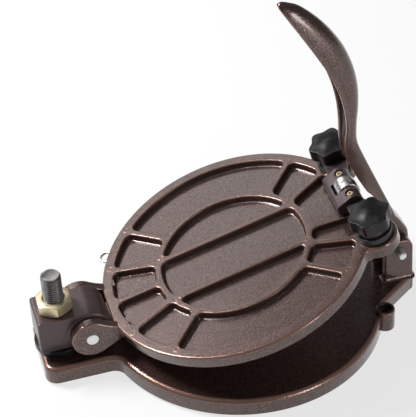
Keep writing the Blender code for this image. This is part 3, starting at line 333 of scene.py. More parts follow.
def feed(tree, socket, value):
    """Link an input to an output, or set it to a constant."""
    if isinstance(value, bpy.types.NodeSocket):
        tree.links.new(value, socket)
    else:
        socket.default_value = value


def add_node(tree, kind, **values):
    """A node with its own fields set from the keywords, and its inputs fed from the key
    'inputs', each with an output or a constant."""
    node = tree.nodes.new(kind)
    inputs = values.pop("inputs", {})
    for name, value in values.items():
        setattr(node, name, value)
    for name, value in inputs.items():
        feed(tree, node.inputs[name], value)
    return node


def own_place(tree):
    """Where a point lies in its piece's own coordinates."""
    return add_node(tree, "ShaderNodeTexCoord").outputs["Object"]


def painted_light_mask(tree):
    """The painted light that a mesh keeps on its points: painted highlight on coated edges, painted
    shade in the thread's grooves.
    """
    return add_node(tree, "ShaderNodeAttribute", attribute_name="edge").outputs["Fac"]


def reckon(tree, operation, *values):
    """The outcome of a Math node."""
    return add_node(tree, "ShaderNodeMath", operation=operation,
                    inputs=dict(enumerate(values))).outputs[0]


def noise(tree, place, scale, detail, **more):
    """The height of a noise texture."""
    return add_node(tree, "ShaderNodeTexNoise", inputs={
        "Vector": place, "Scale": scale, "Detail": detail, **more}).outputs["Fac"]


def ranged(tree, value, low, high, first=0.0, last=1.0):
    """A value taken from the range low to high into first to last, and held inside it."""
    return add_node(tree, "ShaderNodeMapRange", clamp=True, inputs={
        "Value": value, "From Min": low, "From Max": high, "To Min": first,
        "To Max": last}).outputs["Result"]


def mix_colours(tree, factor, first, second):
    """A colour between two."""
    return add_node(tree, "ShaderNodeMix", data_type="RGBA",
                    inputs={0: factor, 6: first, 7: second}).outputs[2]


def rgba(tone):
    """A colour made opaque."""
    return (*tone, 1.0)


def new_group(name, inputs, outputs):
    """A shader node group with the given sockets, and its input and output nodes."""
    group = bpy.data.node_groups.new(name, "ShaderNodeTree")
    kinds = {"colour": "NodeSocketColor", "value": "NodeSocketFloat", "vector": "NodeSocketVector"}
    for label, kind in inputs:
        group.interface.new_socket(name=label, in_out="INPUT", socket_type=kinds[kind])
    for label, kind in outputs:
        group.interface.new_socket(name=label, in_out="OUTPUT", socket_type=kinds[kind])
    return group, add_node(group, "NodeGroupInput"), add_node(group, "NodeGroupOutput")


def dimple_group():
    """The hammered coat: soft round dimples, a finer orange peel over them, flecks, and a painted
    highlight in the Edge colour where the mesh marks its edges.
    """
    name = "Hammered Coat"
    if name in bpy.data.node_groups:
        return bpy.data.node_groups[name]
    group, source, sink = new_group(
        name, [("Coat", "colour"), ("Fleck", "colour"), ("Edge", "colour"), ("Cells", "value"),
               ("Fleck Share", "value"), ("Rough", "value")],
        [("Color", "colour"), ("Roughness", "value"), ("Height", "value")])
    given = source.outputs
    place = own_place(group)
    cells = add_node(group, "ShaderNodeTexVoronoi", feature="SMOOTH_F1",
                     inputs={"Vector": place, "Scale": given["Cells"], "Smoothness": 0.6,
                             "Randomness": 0.9}).outputs["Distance"]
    peel = noise(group, place, reckon(group, "MULTIPLY", given["Cells"], 1.7), 3.0, Roughness=0.55)
    fleck = ranged(group, peel, 0.46, 0.62)
    share = reckon(group, "MULTIPLY", fleck, given["Fleck Share"])
    speckled = mix_colours(group, share, given["Coat"], given["Fleck"])
    # Painted highlight: the Edge colour laid where the mesh marks its edges, broken up by the peel.
    broken = ranged(group, peel, 0.25, 0.75, 0.45)
    painted_highlight = reckon(group, "MULTIPLY", painted_light_mask(group), broken)
    for label, value in (
            ("Color", mix_colours(group, painted_highlight, speckled, given["Edge"])),
            ("Roughness", reckon(group, "MULTIPLY_ADD", fleck, -0.10, given["Rough"])),
            ("Height", reckon(group, "MULTIPLY_ADD", cells, 0.7, peel))):
        feed(group, sink.inputs[label], value)
    return group


def new_finish(name, metallic, roughness, **sockets):
    """A material with a Principled shader, its constants on the shader's own sockets."""
    material = bpy.data.materials.new(name)
    tree = new_tree(material)
    shader = add_node(tree, "ShaderNodeBsdfPrincipled",
                      inputs={"Metallic": metallic, "Roughness": roughness, **sockets})
    add_node(tree, "ShaderNodeOutputMaterial", inputs={"Surface": shader.outputs["BSDF"]})
    return material, tree, shader


def add_bump(tree, shader, height, distance, strength):
    """A Bump node between a height and the shader's normal."""
    bump = add_node(tree, "ShaderNodeBump",
                    inputs={"Height": height, "Distance": distance, "Strength": strength})
    feed(tree, shader.inputs["Normal"], bump.outputs["Normal"])


def coated_finish(name, coat, fleck, edge, grain, metallic, roughness, share, depth, lacquer):
    """The hammered coat in one colour."""
    material, tree, shader = new_finish(name, metallic, roughness, **{"Coat Weight": lacquer,
                                                                      "Coat Roughness": 0.14})
    # The edge colour is the painted highlight along the marked edges.
    group = add_node(tree, "ShaderNodeGroup", node_tree=dimple_group(),
                     inputs={"Coat": rgba(coat), "Fleck": rgba(fleck), "Edge": rgba(edge),
                             "Cells": 1.0 / grain, "Fleck Share": share, "Rough": roughness})
    feed(tree, shader.inputs["Base Color"], group.outputs["Color"])
    feed(tree, shader.inputs["Roughness"], group.outputs["Roughness"])
    add_bump(tree, shader, group.outputs["Height"], depth, 1.0)
    return material


def cast_finish(finish):
    """The glossy coat of base, plate and lever."""
    return coated_finish("cast_coat", finish.coat, finish.fleck_and_highlight, finish.edge_highlight,
                         finish.grain, 0.60, 0.30, 0.9, 0.00014, 0.8)


def block_finish(finish):
    """The duller, flatter coat of the hinge block and the bridge."""
    # The lighter fleck colour serves here as the painted highlight along the block's edges.
    return coated_finish("block_coat", finish.block, finish.coat, finish.fleck_and_highlight,
                         finish.grain, 0.50, 0.42, 0.25, 0.00008, 0.25)


def plastic_finish(name, colour, roughness):
    """Moulded plastic: a fine spark-eroded grain and slightly uneven gloss."""
    material, tree, shader = new_finish(name, 0.0, roughness, **{"Specular IOR Level": 0.32})
    place = own_place(tree)
    cloud = noise(tree, place, 120.0, 3.0)
    gloss = ranged(tree, cloud, 0.3, 0.7, roughness - 0.06, roughness + 0.08)
    lighter = rgba([min(part * 1.5, 1.0) for part in colour])
    feed(tree, shader.inputs["Base Color"], mix_colours(tree, cloud, rgba(colour), lighter))
    feed(tree, shader.inputs["Roughness"], gloss)
    add_bump(tree, shader, noise(tree, place, 2600.0, 2.0), 0.00003, 0.6)
    return material


def metal_finish(name, colour, second, roughness, share, relief=0.00002):
    """Bare or plated metal: fine turning streaks, a cloudy film of a second tone, and painted
    shade: a dark tone laid in the grooves where the mesh marks them."""
    material, tree, shader = new_finish(name, 1.0, roughness)
    place = own_place(tree)
    film = ranged(tree, noise(tree, place, 130.0, 3.0, Distortion=1.2), 0.40, 0.62, 0.0, share)
    clean = mix_colours(tree, film, rgba(colour), rgba(second))
    # Painted shade: a dark tone for the grooves.
    painted_groove_shade = rgba([part * 0.08 for part in second])
    streak = noise(tree, place, 900.0, 2.0)
    gloss = ranged(tree, streak, 0.3, 0.7, max(roughness - 0.07, 0.04), roughness + 0.10)
    feed(tree, shader.inputs["Base Color"], mix_colours(tree, painted_light_mask(tree), clean, painted_groove_shade))
    feed(tree, shader.inputs["Roughness"], gloss)
    add_bump(tree, shader, streak, relief, 0.5)
    return material


def rubber_finish(name, colour):
    """Dull rubber with a coarse grain."""
    material, tree, shader = new_finish(name, 0.0, 0.8)
    grain = noise(tree, own_place(tree), 1500.0, 4.0)
    lighter = rgba([part * 2.2 for part in colour])
    feed(tree, shader.inputs["Base Color"], mix_colours(tree, grain, rgba(colour), lighter))
    add_bump(tree, shader, grain, 0.0001, 0.7)
    return material


def finishes():
    """Every finish by its short name, made once."""
    makers = {
        "cast_coat": cast_finish,
        "block_coat": block_finish,
        "knob_black": lambda f: plastic_finish("knob_black", f.black, 0.30),
        "spacer_grey": lambda f: plastic_finish("spacer_grey", f.grey, 0.42),
        "bright_steel": lambda f: metal_finish("bright_steel", f.steel, (0.20, 0.195, 0.19),
                                               0.22, 0.6),
        "stud_steel": lambda f: metal_finish("stud_steel", (0.52, 0.505, 0.49), (0.36, 0.35, 0.34),
                                             0.34, 0.6, 0.000004),
        "bearing_chrome": lambda f: metal_finish("bearing_chrome", (0.74, 0.73, 0.72),
                                                 (0.40, 0.39, 0.37), 0.24, 0.6, 0.000001),
        "gold_zinc": lambda f: metal_finish("gold_zinc", f.zinc, f.zinc_rose, 0.26, 0.8),
        "bush_bronze": lambda f: metal_finish("bush_bronze", (0.50, 0.31, 0.14),
                                              (0.34, 0.19, 0.08), 0.35, 0.7),
        "foot_rubber": lambda f: rubber_finish("foot_rubber", (0.014, 0.014, 0.014)),
    }
    for name, maker in makers.items():
        if name not in bpy.data.materials:
            maker(settings().finish)
    return {name: bpy.data.materials[name] for name in makers}


NODE_FINISH = {
    "base": "cast_coat", "top_plate": "cast_coat", "roller_bridge": "block_coat",
    "lever": "cast_coat",
    "hinge_block": "block_coat", "height_spacer": "knob_black", "height_nut": "gold_zinc",
    "height_stud": "stud_steel", "hinge_pin": "bright_steel", "lever_pin": "bright_steel",
    "pin_clip": "bright_steel", "hinge_bush": "bush_bronze", "lever_bush": "bush_bronze",
    "roller_axle": "bright_steel", "clamp_screw": "gold_zinc", "knob_stud": "bright_steel",
    "knob_spacer": "spacer_grey", "knob_near": "knob_black", "knob_far": "knob_black",
    "shield": "bearing_chrome", "bearing": "bearing_chrome", "ball": "bearing_chrome",
    "foot": "foot_rubber", "wire_eye": "bright_steel",
}


def finish_of(node):
    """The finish whose name is the longest start of the node's name."""
    starts = [start for start in NODE_FINISH if node.startswith(start)]
    if not starts:
        raise RuntimeError(f"no finish is named for {node}")
    return NODE_FINISH[max(starts, key=len)]


class PRESS_OT_finishes(Operator):
    """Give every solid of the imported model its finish"""

    bl_idname = "press.finishes"
    bl_label = "Finishes"

    def execute(self, context):
        ready = finishes()
        for name, node in frame["nodes"].items():
            node.data.materials.clear()
            node.data.materials.append(ready[finish_of(name)])
        return {"FINISHED"}


def arc(centre, radius, start, end, count):
    """Points on a circle: centre + radius * (cos a, sin a), with a from start to end in degrees."""
    turn = np.radians(np.linspace(start, end, count + 1))
    return np.stack([centre[0] + radius * np.cos(turn), centre[1] + radius * np.sin(turn)], 1)


def circle(radius, centre=(0.0, 0.0), count=64):
    """Points once round a circle."""
    return arc(centre, radius, 0.0, 360.0, count)[:-1]


def cut_back(line, length):
    """A line of points that starts and ends a length further in, read by its run of length."""
    run = np.concatenate([[0.0], np.cumsum(np.linalg.norm(np.diff(line, axis=0), axis=1))])
    kept = run[(run > length * 1.02) & (run < run[-1] - length * 1.02)]
    stops = np.concatenate([[length], kept, [run[-1] - length]])
    return np.stack([np.interp(stops, run, line[:, axis]) for axis in (0, 1)], 1)


def rounded_loop(sides, radius, count=7):
    """Open sides joined to a loop. Each corner c is bridged from a to b, which lie a radius away,
    by the arc ((1-t)^2 a + 2t(1-t) w c + t^2 b) / ((1-t)^2 + 2t(1-t) w + t^2), where w is the
    sine of half the corner's angle."""
    trimmed = [cut_back(side, radius) for side in sides]
    share = np.linspace(0.0, 1.0, count + 1)[1:-1, None]
    loop = []
    for index, line in enumerate(trimmed):
        after = trimmed[(index + 1) % len(trimmed)][0]
        corner = sides[index][-1]
        first, second = line[-1] - corner, after - corner
        closeness = first @ second / np.linalg.norm(first) / np.linalg.norm(second)
        pull = 2 * share * (1 - share) * math.sqrt((1 - closeness) / 2)
        bridge = (1 - share) ** 2 * line[-1] + pull * corner + share ** 2 * after
        loop += [line, bridge / ((1 - share) ** 2 + pull + share ** 2)]
    return np.concatenate(loop)


def polygon(corners, radius, count=7):
    """A polygon with its corners rounded."""
    corners = np.asarray(corners, float)
    sides = [np.stack([first, second]) for first, second in zip(corners, np.roll(corners, -1, 0))]
    return rounded_loop(sides, radius, count)


def crossing(centre_a, reach_a, centre_b, reach_b, side):
    """Where two circles cross: along the line of their centres by (ra^2 - rb^2 + d^2) / 2d, then
    square to it."""
    gap = np.subtract(centre_b, centre_a)
    span = np.linalg.norm(gap)
    along = (reach_a ** 2 - reach_b ** 2 + span ** 2) / (2 * span)
    aside = math.sqrt(reach_a ** 2 - along ** 2)
    unit = gap / span
    return np.asarray(centre_a) + unit * along + np.array([-unit[1], unit[0]]) * aside * side


def angle_of(centre, point):
    """The angle in degrees at which a point lies from a centre."""
    return math.degrees(math.atan2(point[1] - centre[1], point[0] - centre[0]))


def mirrored(half):
    """A closed outline from its half at y >= 0, given from left to right, turned to run
    anticlockwise."""
    whole = np.concatenate([half, (half * (1, -1))[::-1]])
    apart = np.linalg.norm(whole - np.roll(whole, 1, 0), axis=1) > 1e-6
    return whole[apart][::-1]


def outward(outline):
    """The way out at each point of an anticlockwise outline: the sum of its two sides' normals
    over 1 plus their product, so that both sides move out by the same distance."""
    ahead = np.roll(outline, -1, 0) - outline
    ahead /= np.linalg.norm(ahead, axis=1, keepdims=True)
    normal = np.stack([ahead[:, 1], -ahead[:, 0]], 1)
    before = np.roll(normal, 1, 0)
    return (normal + before) / (1 + (normal * before).sum(1, keepdims=True))


def carry(outline, profile):
    """A profile of (outset, height) carried round an outline: point = outline + outset * way out,
    at that height. Rows follow the profile, columns the outline."""
    profile = np.asarray(profile, float)
    flat = outline[None] + profile[:, None, :1] * outward(outline)[None]
    height = np.broadcast_to(profile[:, None, 1:2], flat.shape[:2] + (1,))
    return np.concatenate([flat, height], 2)


def lathe(profile, count=64):
    """A profile of (radius, height) turned once round Z: (r cos a, r sin a, z)."""
    profile = np.asarray(profile, float)
    turn = np.linspace(0.0, 2 * math.pi, count, endpoint=False)
    reach = profile[:, :1]
    height = np.broadcast_to(profile[:, 1:2], (len(profile), count))
    return np.stack([reach * np.cos(turn), reach * np.sin(turn), height], 2)


def smooth_rows(table, count):
    """Rows of a table joined by Catmull-Rom curves, with count steps between two rows."""
    table = np.asarray(table, float)
    place = np.linspace(0.0, len(table) - 1.0, (len(table) - 1) * count + 1)
    index = np.minimum(place.astype(int), len(table) - 2)
    t = (place - index)[:, None]
    p0 = table[np.maximum(index - 1, 0)]
    p1 = table[index]
    p2 = table[index + 1]
    p3 = table[np.minimum(index + 2, len(table) - 1)]
    return 0.5 * (2 * p1 + (p2 - p0) * t + (2 * p0 - 5 * p1 + 4 * p2 - p3) * t ** 2
                  + (3 * p1 - 3 * p2 + p3 - p0) * t ** 3)


# The painted highlight along the ten rows of a slab, heaviest on its two round edges.
SLAB_HIGHLIGHT = (0.1, 0.7, 1.0, 0.6, 0.1, 0.1, 0.6, 1.0, 0.7, 0.1)


def across(outline, profile):
    """An outline in x and z carried along y by a profile of (outset, y)."""
    return carry(outline, profile)[:, :, (0, 2, 1)]


def slab(shell, outline, hole, near, far, edge, painted_light=SLAB_HIGHLIGHT, between=lambda: None):
    """An outline in x and z carried across from y = near to y = far, with round edges and a hole
    through it. What is made between comes before the hole's wall."""
    grid = across(outline, np.concatenate([arc((-edge, near + edge), edge, -90.0, 0.0, 4),
                                           arc((-edge, far - edge), edge, 0.0, 90.0, 4)]))
    bore = across(hole, [[0.0, near], [0.0, far]])
    shell.sheet(grid, painted_light=painted_light)
    between()
    shell.sheet(bore)
    for row in (0, -1):
        shell.fill(grid[row], bore[row], axes=(0, 2))


def washer(inner, outer, low, top, edge, count):
    """The profile of (radius, height) of a ring with a plain bore and round outer edges."""
    return np.concatenate([
        [[inner, low]], arc((outer - edge, low + edge), edge, -90.0, 0.0, count),
        arc((outer - edge, top - edge), edge, 0.0, 90.0, count), [[inner, top]]])


def spot_at(reach, angle):
    """The place on the ground at a reach and an angle in degrees from the middle."""
    turn = math.radians(angle)
    return np.array([reach * math.cos(turn), reach * math.sin(turn), 0.0])


class Shell:
    """The surfaces of one piece, gathered as grids and flat fills, with their points' painted
    light.
    """

    def __init__(self):
        """Start with nothing gathered."""
        self.points = []
        self.painted_light = []
        self.faces = []
        self.smooth = []
        self.count = 0

    def take(self, points, faces, painted_light, smooth=True):
        """Keep points and faces; the painted light is one number or one for each point."""
        self.points.append(points)
        self.painted_light.append(np.broadcast_to(painted_light, len(points)))
        self.faces += (np.asarray(faces) + self.count).tolist()
        self.smooth += [smooth] * len(faces)
        self.count += len(points)

    def sheet(self, grid, painted_light=0.0, closed_rows=False, closed=True):
        """A grid of points as four-sided faces. The painted light is given by row."""
        rows, columns = grid.shape[:2]
        index = np.arange(rows * columns).reshape(rows, columns)
        if closed:
            index = np.concatenate([index, index[:, :1]], 1)
        if closed_rows:
            index = np.concatenate([index, index[:1]])
        corners = [index[:-1, :-1], index[:-1, 1:], index[1:, 1:], index[1:, :-1]]
        faces = np.stack([corner.ravel() for corner in corners], 1)
        painted_highlight = np.broadcast_to(np.asarray(painted_light, float), rows)
        self.take(grid.reshape(-1, 3), faces, np.repeat(painted_highlight, columns))

    def fill(self, *loops, axes=(0, 1)):
        """A flat face inside the first loop and outside the others. Its triangles are the
        Delaunay ones between the loops' points, worked out in the two axes. One is kept where a
        line from its middle to the right crosses the loops an odd number of times."""
        points = np.concatenate(loops)
        ends = np.cumsum([len(loop) for loop in loops])
        starts = ends - [len(loop) for loop in loops]
        edges = []
        for start, end in zip(starts, ends):
            index = np.arange(start, end)
            edges += np.stack([index, np.roll(index, -1)], 1).tolist()
        flat = [Vector(point) for point in points[:, axes].tolist()]
        found = delaunay_2d_cdt(flat, edges, [], 0, 1e-8)
        origin = np.array([source[0] for source in found[3]])
        faces = origin[np.array(found[2])]
        spots = points[:, axes]
        start, end = spots[edges].transpose(1, 0, 2)[:, None]
        middle = spots[faces].mean(1)[:, None]
        spans = (start[..., 1] > middle[..., 1]) != (end[..., 1] > middle[..., 1])
        rise = np.where(start[..., 1] == end[..., 1], 1.0, end[..., 1] - start[..., 1])
        meet = start[..., 0] + (middle[..., 1] - start[..., 1]) / rise * (end - start)[..., 0]
        inside = (spans & (meet > middle[..., 0])).sum(1) % 2 == 1
        self.take(points, faces[inside], 0.0, smooth=False)

    def make(self, name, finish, body, nodes, place=None, crease=38.0):
        """Weld the surfaces into one mesh with its faces outwards, and put it in the scene."""
        mesh = bpy.data.meshes.new(name)
        points = np.concatenate(self.points)
        mesh.from_pydata(points.tolist(), [], self.faces)
        mesh.polygons.foreach_set("use_smooth", self.smooth)
        # The attribute 'edge' holds the painted light: painted highlight on edges, painted shade in
        # grooves.
        layer = mesh.attributes.new("edge", "FLOAT", "POINT")
        layer.data.foreach_set("value", np.concatenate(self.painted_light).astype(np.float32))
        work = bmesh.new()
        work.from_mesh(mesh)
        bmesh.ops.remove_doubles(work, verts=work.verts, dist=2e-6)
        if place is not None:
            work.transform(place)
        bmesh.ops.recalc_face_normals(work, faces=work.faces)
        if work.calc_volume(signed=True) < 0:
            bmesh.ops.reverse_faces(work, faces=work.faces)
        work.to_mesh(mesh)
        work.free()
        return show(name, mesh, finish, body, nodes, crease)


def show(name, mesh, finish, body, nodes, crease=38.0):
    """Put a mesh in the scene as a finished piece that stands for some nodes of the frame."""
    mesh.set_sharp_from_angle(angle=math.radians(crease))
    mesh.materials.clear()
    mesh.materials.append(finishes()[finish])
    piece = bpy.data.objects.new(name, mesh)
    bpy.context.scene.collection.objects.link(piece)
    shade = piece.modifiers.new("even_shading", "WEIGHTED_NORMAL")
    shade.keep_sharp = True
    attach(piece, body)
    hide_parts(*nodes)
    return piece


def single(grid, *said, closed_rows=False, **more):
    """A piece made from one sheet; the rest goes to Shell.make."""
    shell = Shell()
    shell.sheet(grid, closed_rows=closed_rows)
    shell.make(*said, **more)


def turn_to(axes):
    """Reorder the coordinates of a shape drawn with Z along its axis: a matrix whose columns are
    the world's directions of its X, Y and Z."""
    return Matrix(axes).transposed().to_4x4()


SIDEWAYS = turn_to(((1, 0, 0), (0, 0, 1), (0, -1, 0)))


def hinge_place():
    """The plate's frame, with its origin on the hinge axis and X along the raised plate."""
    hinge = JOINTS["plate_hinge"]
    opened = -math.radians(hinge["range_deg"][0])
    return Matrix.Translation(hinge["pos_m"]) @ Matrix.Rotation(-opened, 4, "Y")


def base_place():
    """The base's frame, with its origin under the middle of its round table."""
    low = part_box("base")[0]
    pivot = JOINTS["lever_pivot"]["pos_m"]
    return Matrix.Translation((pivot[0] - settings().base.pivot_reach, 0.0, low[2]))


def axle_place():
    """The roller's frame, along the plate's, with its origin on the middle of the axle."""
    return (Matrix.Translation(JOINTS["roller_spin"]["pos_m"])
            @ hinge_place().to_3x3().to_4x4())


def sector(inner, outer, start, end, rib, corner):
    """A pocket between two radial ribs and two rings. The ribs' sides are parallel, so the angle
    moves in by asin(half rib / radius) at each end of both arcs."""
    def shift(radius):
        """The angle in degrees that half a rib takes up at a radius."""
        return math.degrees(math.asin(rib / 2 / radius))

    far = arc((0.0, 0.0), outer, start + shift(outer), end - shift(outer), 48)
    near = arc((0.0, 0.0), inner, end - shift(inner), start + shift(inner), 32)
    sides = [far, np.stack([far[-1], near[0]]), near, np.stack([near[-1], far[0]])]
    return rounded_loop(sides, corner)


def segment(radius, offset, corner):
    """A pocket between a ring and a straight bar at y = offset."""
    reach = math.degrees(math.asin(offset / radius))
    bow = arc((0.0, 0.0), radius, reach, 180.0 - reach, 56)
    return rounded_loop([bow, np.stack([bow[-1], bow[0]])], corner)


def band(radius, offset, corner):
    """The pocket across the middle, between two bars and inside a ring."""
    reach = math.degrees(math.asin(offset / radius))
    right = arc((0.0, 0.0), radius, -reach, reach, 24)
    left = arc((0.0, 0.0), radius, 180.0 - reach, 180.0 + reach, 24)
    sides = [right, np.stack([right[-1], left[0]]), left, np.stack([left[-1], right[0]])]
    return rounded_loop(sides, corner)


def sunk(shell, outline, top, depth, edge, fillet, draft):
    """A pocket's wall and floor: a round lip that falls away from the outline, a wall that leans
    in by the draft, a hollow fillet and a flat floor. Gives the loop that the top face meets."""
    floor = top - depth
    lean = (depth - edge - fillet) * math.tan(math.radians(draft))
    lip = arc((edge, top - edge), edge, 90.0, 180.0, 4)
    foot = arc((-lean - fillet, floor + fillet), fillet, 0.0, -90.0, 4)
    grid = carry(outline, np.concatenate([lip, foot]))
    # Painted highlight on the lip's round.
    shell.sheet(grid, painted_light=np.r_[0.15, 0.7, 1.0, 0.6, 0.15, 0.0, 0.0, 0.0, 0.0, 0.0])
    shell.fill(grid[-1])
    return grid[0]


def plate_outline(plate):
    """The plate from above, about its own middle: a disc with two knob ears, and its left end
    trimmed straight where the hinge barrel turns."""
    ear = (plate.knob_place[0], plate.knob_place[1])
    reach = plate.radius + plate.ear_root
    inner = crossing((0.0, 0.0), reach, ear, plate.ear_radius + plate.ear_root, 1)
    outer = crossing((0.0, 0.0), reach, ear, plate.ear_radius + plate.ear_root, -1)
    inner_turn = angle_of((0.0, 0.0), inner)
    outer_turn = angle_of((0.0, 0.0), outer)
    half = np.concatenate([
        arc((0.0, 0.0), plate.radius, 180.0, inner_turn, 90),
        arc(inner, plate.ear_root, inner_turn - 180.0, angle_of(inner, ear), 6)[1:],
        arc(ear, plate.ear_radius, angle_of(ear, inner), angle_of(ear, outer), 28)[1:],
        arc(outer, plate.ear_root, angle_of(outer, ear), outer_turn + 180.0, 6)[1:],
        arc((0.0, 0.0), plate.radius, outer_turn, 0.0, 12)[1:]])
    trimmed = np.maximum(half, (plate.trim - plate.hinge_reach, -1.0))
    return mirrored(trimmed)


def plate_pockets(plate):
    """The pockets between the plate's ribs: one band, two segments and ten sectors."""
    half = plate.rib / 2
    ring_in = plate.ring - half
    ring_out = plate.ring + half
    rim = plate.radius - plate.rim
    bare = math.degrees(math.asin((plate.bare_width + plate.rib) / (ring_out + rim)))
    bounds = [bare, *plate.rib_angles, 180.0]
    upper = [segment(ring_in, plate.bar + half, plate.corner)]
    upper += [sector(ring_out, rim, start, end, plate.rib, plate.corner)
              for start, end in zip(bounds, bounds[1:])]
    lower = [(shape * (1, -1))[::-1] for shape in upper]
    return [band(ring_in, plate.bar - half, plate.corner), *upper, *lower]


class PRESS_OT_top_plate(Operator):
    """Cast the ribbed top plate with its hinge arms and knob ears"""

    bl_idname = "press.top_plate"
    bl_label = "Top Plate"

    def execute(self, context):
        plate = settings().plate
        shell = Shell()
        centre = np.array([plate.hinge_reach, 0.0])
        outline = plate_outline(plate) + centre
        top = plate.top
        low = plate.low
        rim = np.concatenate([arc((-plate.edge, top - plate.edge), plate.edge, 90.0, 0.0, 6),
                              arc((-plate.under, low + plate.under), plate.under, 0.0, -90.0, 4)])
        # Painted highlight on the rim's top round, and a weaker one on its lower round.
        painted_light = np.r_[0.1, 0.5, 0.9, 1.0, 0.6, 0.2, 0.0, 0.0, 0.2, 0.3, 0.2, 0.0]
        grid = carry(outline, rim)
        shell.sheet(grid, painted_light=painted_light)
        lips = [sunk(shell, shape + centre, top, plate.depth, plate.lip, plate.fillet, plate.draft)
                for shape in plate_pockets(plate)]
        bores = []
        for way in (1, -1):
            spot = centre + np.array([plate.knob_place[0], plate.knob_place[1] * way])
            sink = low + plate.stud_sink
            bore = [[0.0, top], [0.0, sink], [plate.stud_seat, sink], [plate.stud_seat, low]]
            wall = carry(circle(plate.stud_hole, spot, 32), bore)
            shell.sheet(wall)
            bores.append(wall)
        edge = plate.press_edge
        press = carry(circle(plate.press, centre, 160),
                      np.concatenate([arc((edge, low - edge), edge, 90.0, 180.0, 3),
                                      arc((-edge, plate.press_low + edge), edge, 0.0, -90.0, 3)]))
        shell.sheet(press)
        shell.fill(press[-1])
        shell.fill(grid[0], *lips, *[wall[0] for wall in bores])
        shell.fill(grid[-1], press[0], *[wall[-1] for wall in bores])
        self.rings(shell, plate, centre)
        for way in (1, -1):
            self.arm(shell, plate, way)
        shell.make("ribbed_plate", "cast_coat", "plate", ["top_plate"], hinge_place())
        return {"FINISHED"}

    def rings(self, shell, plate, centre):
        """The faint rings that the mould's pins leave where ribs meet: a low bump carried round
        a circle."""
        bump = np.array([[0.0006, -0.0002], [0.00045, 0.0001], [0.0, 0.00022], [-0.00045, 0.0001],
                         [-0.0006, -0.0002]]) + (0.0, plate.top)
        spots = ((-64, 30), (-63, -30), (64, 33), (66, -26), (86, -82), (-85, 86), (-112, 44),
                 (-112, -46), (-81, -87))
        for x, y in spots:
            place = circle(plate.pin_mark, centre + np.array([x, y]) * 0.001, 28)
            # Painted highlight on the rings' crowns.
            shell.sheet(carry(place, bump), painted_light=(0.0, 0.5, 0.8, 0.5, 0.0), closed_rows=True)

    def arm(self, shell, plate, way):
        """A hinge arm, drawn in x and z and carried across its width with round edges: an eye that
        runs out below along its tangent, and above along the hollow curve
        (1-t)^2 end + 2t(1-t) pull + t^2 eye."""
        root = plate.arm_root
        span_low = math.hypot(root, plate.low)
        lower = angle_of((0, 0), (root, plate.low)) - math.degrees(math.acos(plate.eye / span_low))
        eye = arc((0.0, 0.0), plate.eye, plate.arm_leave, lower + 360.0, 72)
        end = np.array([plate.arm_flat, plate.top - 0.0004])
        leave = math.radians(plate.arm_leave)
        drop = (eye[0, 1] - end[1]) * 0.62 / math.cos(leave)
        pull = eye[0] + drop * np.array([math.sin(leave), -math.cos(leave)])
        share = np.linspace(0.0, 1.0, 13)[:-1, None]
        neck = (1 - share) ** 2 * end + 2 * share * (1 - share) * pull + share ** 2 * eye[0]
        outline = np.concatenate([eye, [[root, plate.low + 0.0004], [root, end[1]]], neck])
        near, far = sorted((plate.arm_inner * way, plate.arm_outer * way))
        hole = circle(plate.pin + 0.0002, count=48)
        slab(shell, outline, hole, near, far, plate.arm_edge)


def base_outline(base):
    """The base from above: a round table, a broad lug to the left with round roots, and a lug to
    the right that runs out from the table's side."""
    corner = (-(base.hinge_lug - base.lug_corner), base.lug_half - base.lug_corner)
    root_y = base.lug_half + base.lug_root
    root = (-math.sqrt((base.radius + base.lug_root) ** 2 - root_y ** 2), root_y)
    meet = angle_of((0.0, 0.0), root)
    tip = (base.lever_lug - base.lever_corner, base.lever_half - base.lever_corner)
    half = np.concatenate([
        [[-base.hinge_lug, 0.0]],
        arc(corner, base.lug_corner, 180.0, 90.0, 14),
        arc(root, base.lug_root, -90.0, meet - 180.0, 14),
        arc((0.0, 0.0), base.radius, meet, base.lever_angle, 110)[1:],
        arc(tip, base.lever_corner, 75.0, 0.0, 10),
        [[base.lever_lug, 0.0]]])
    return mirrored(half)


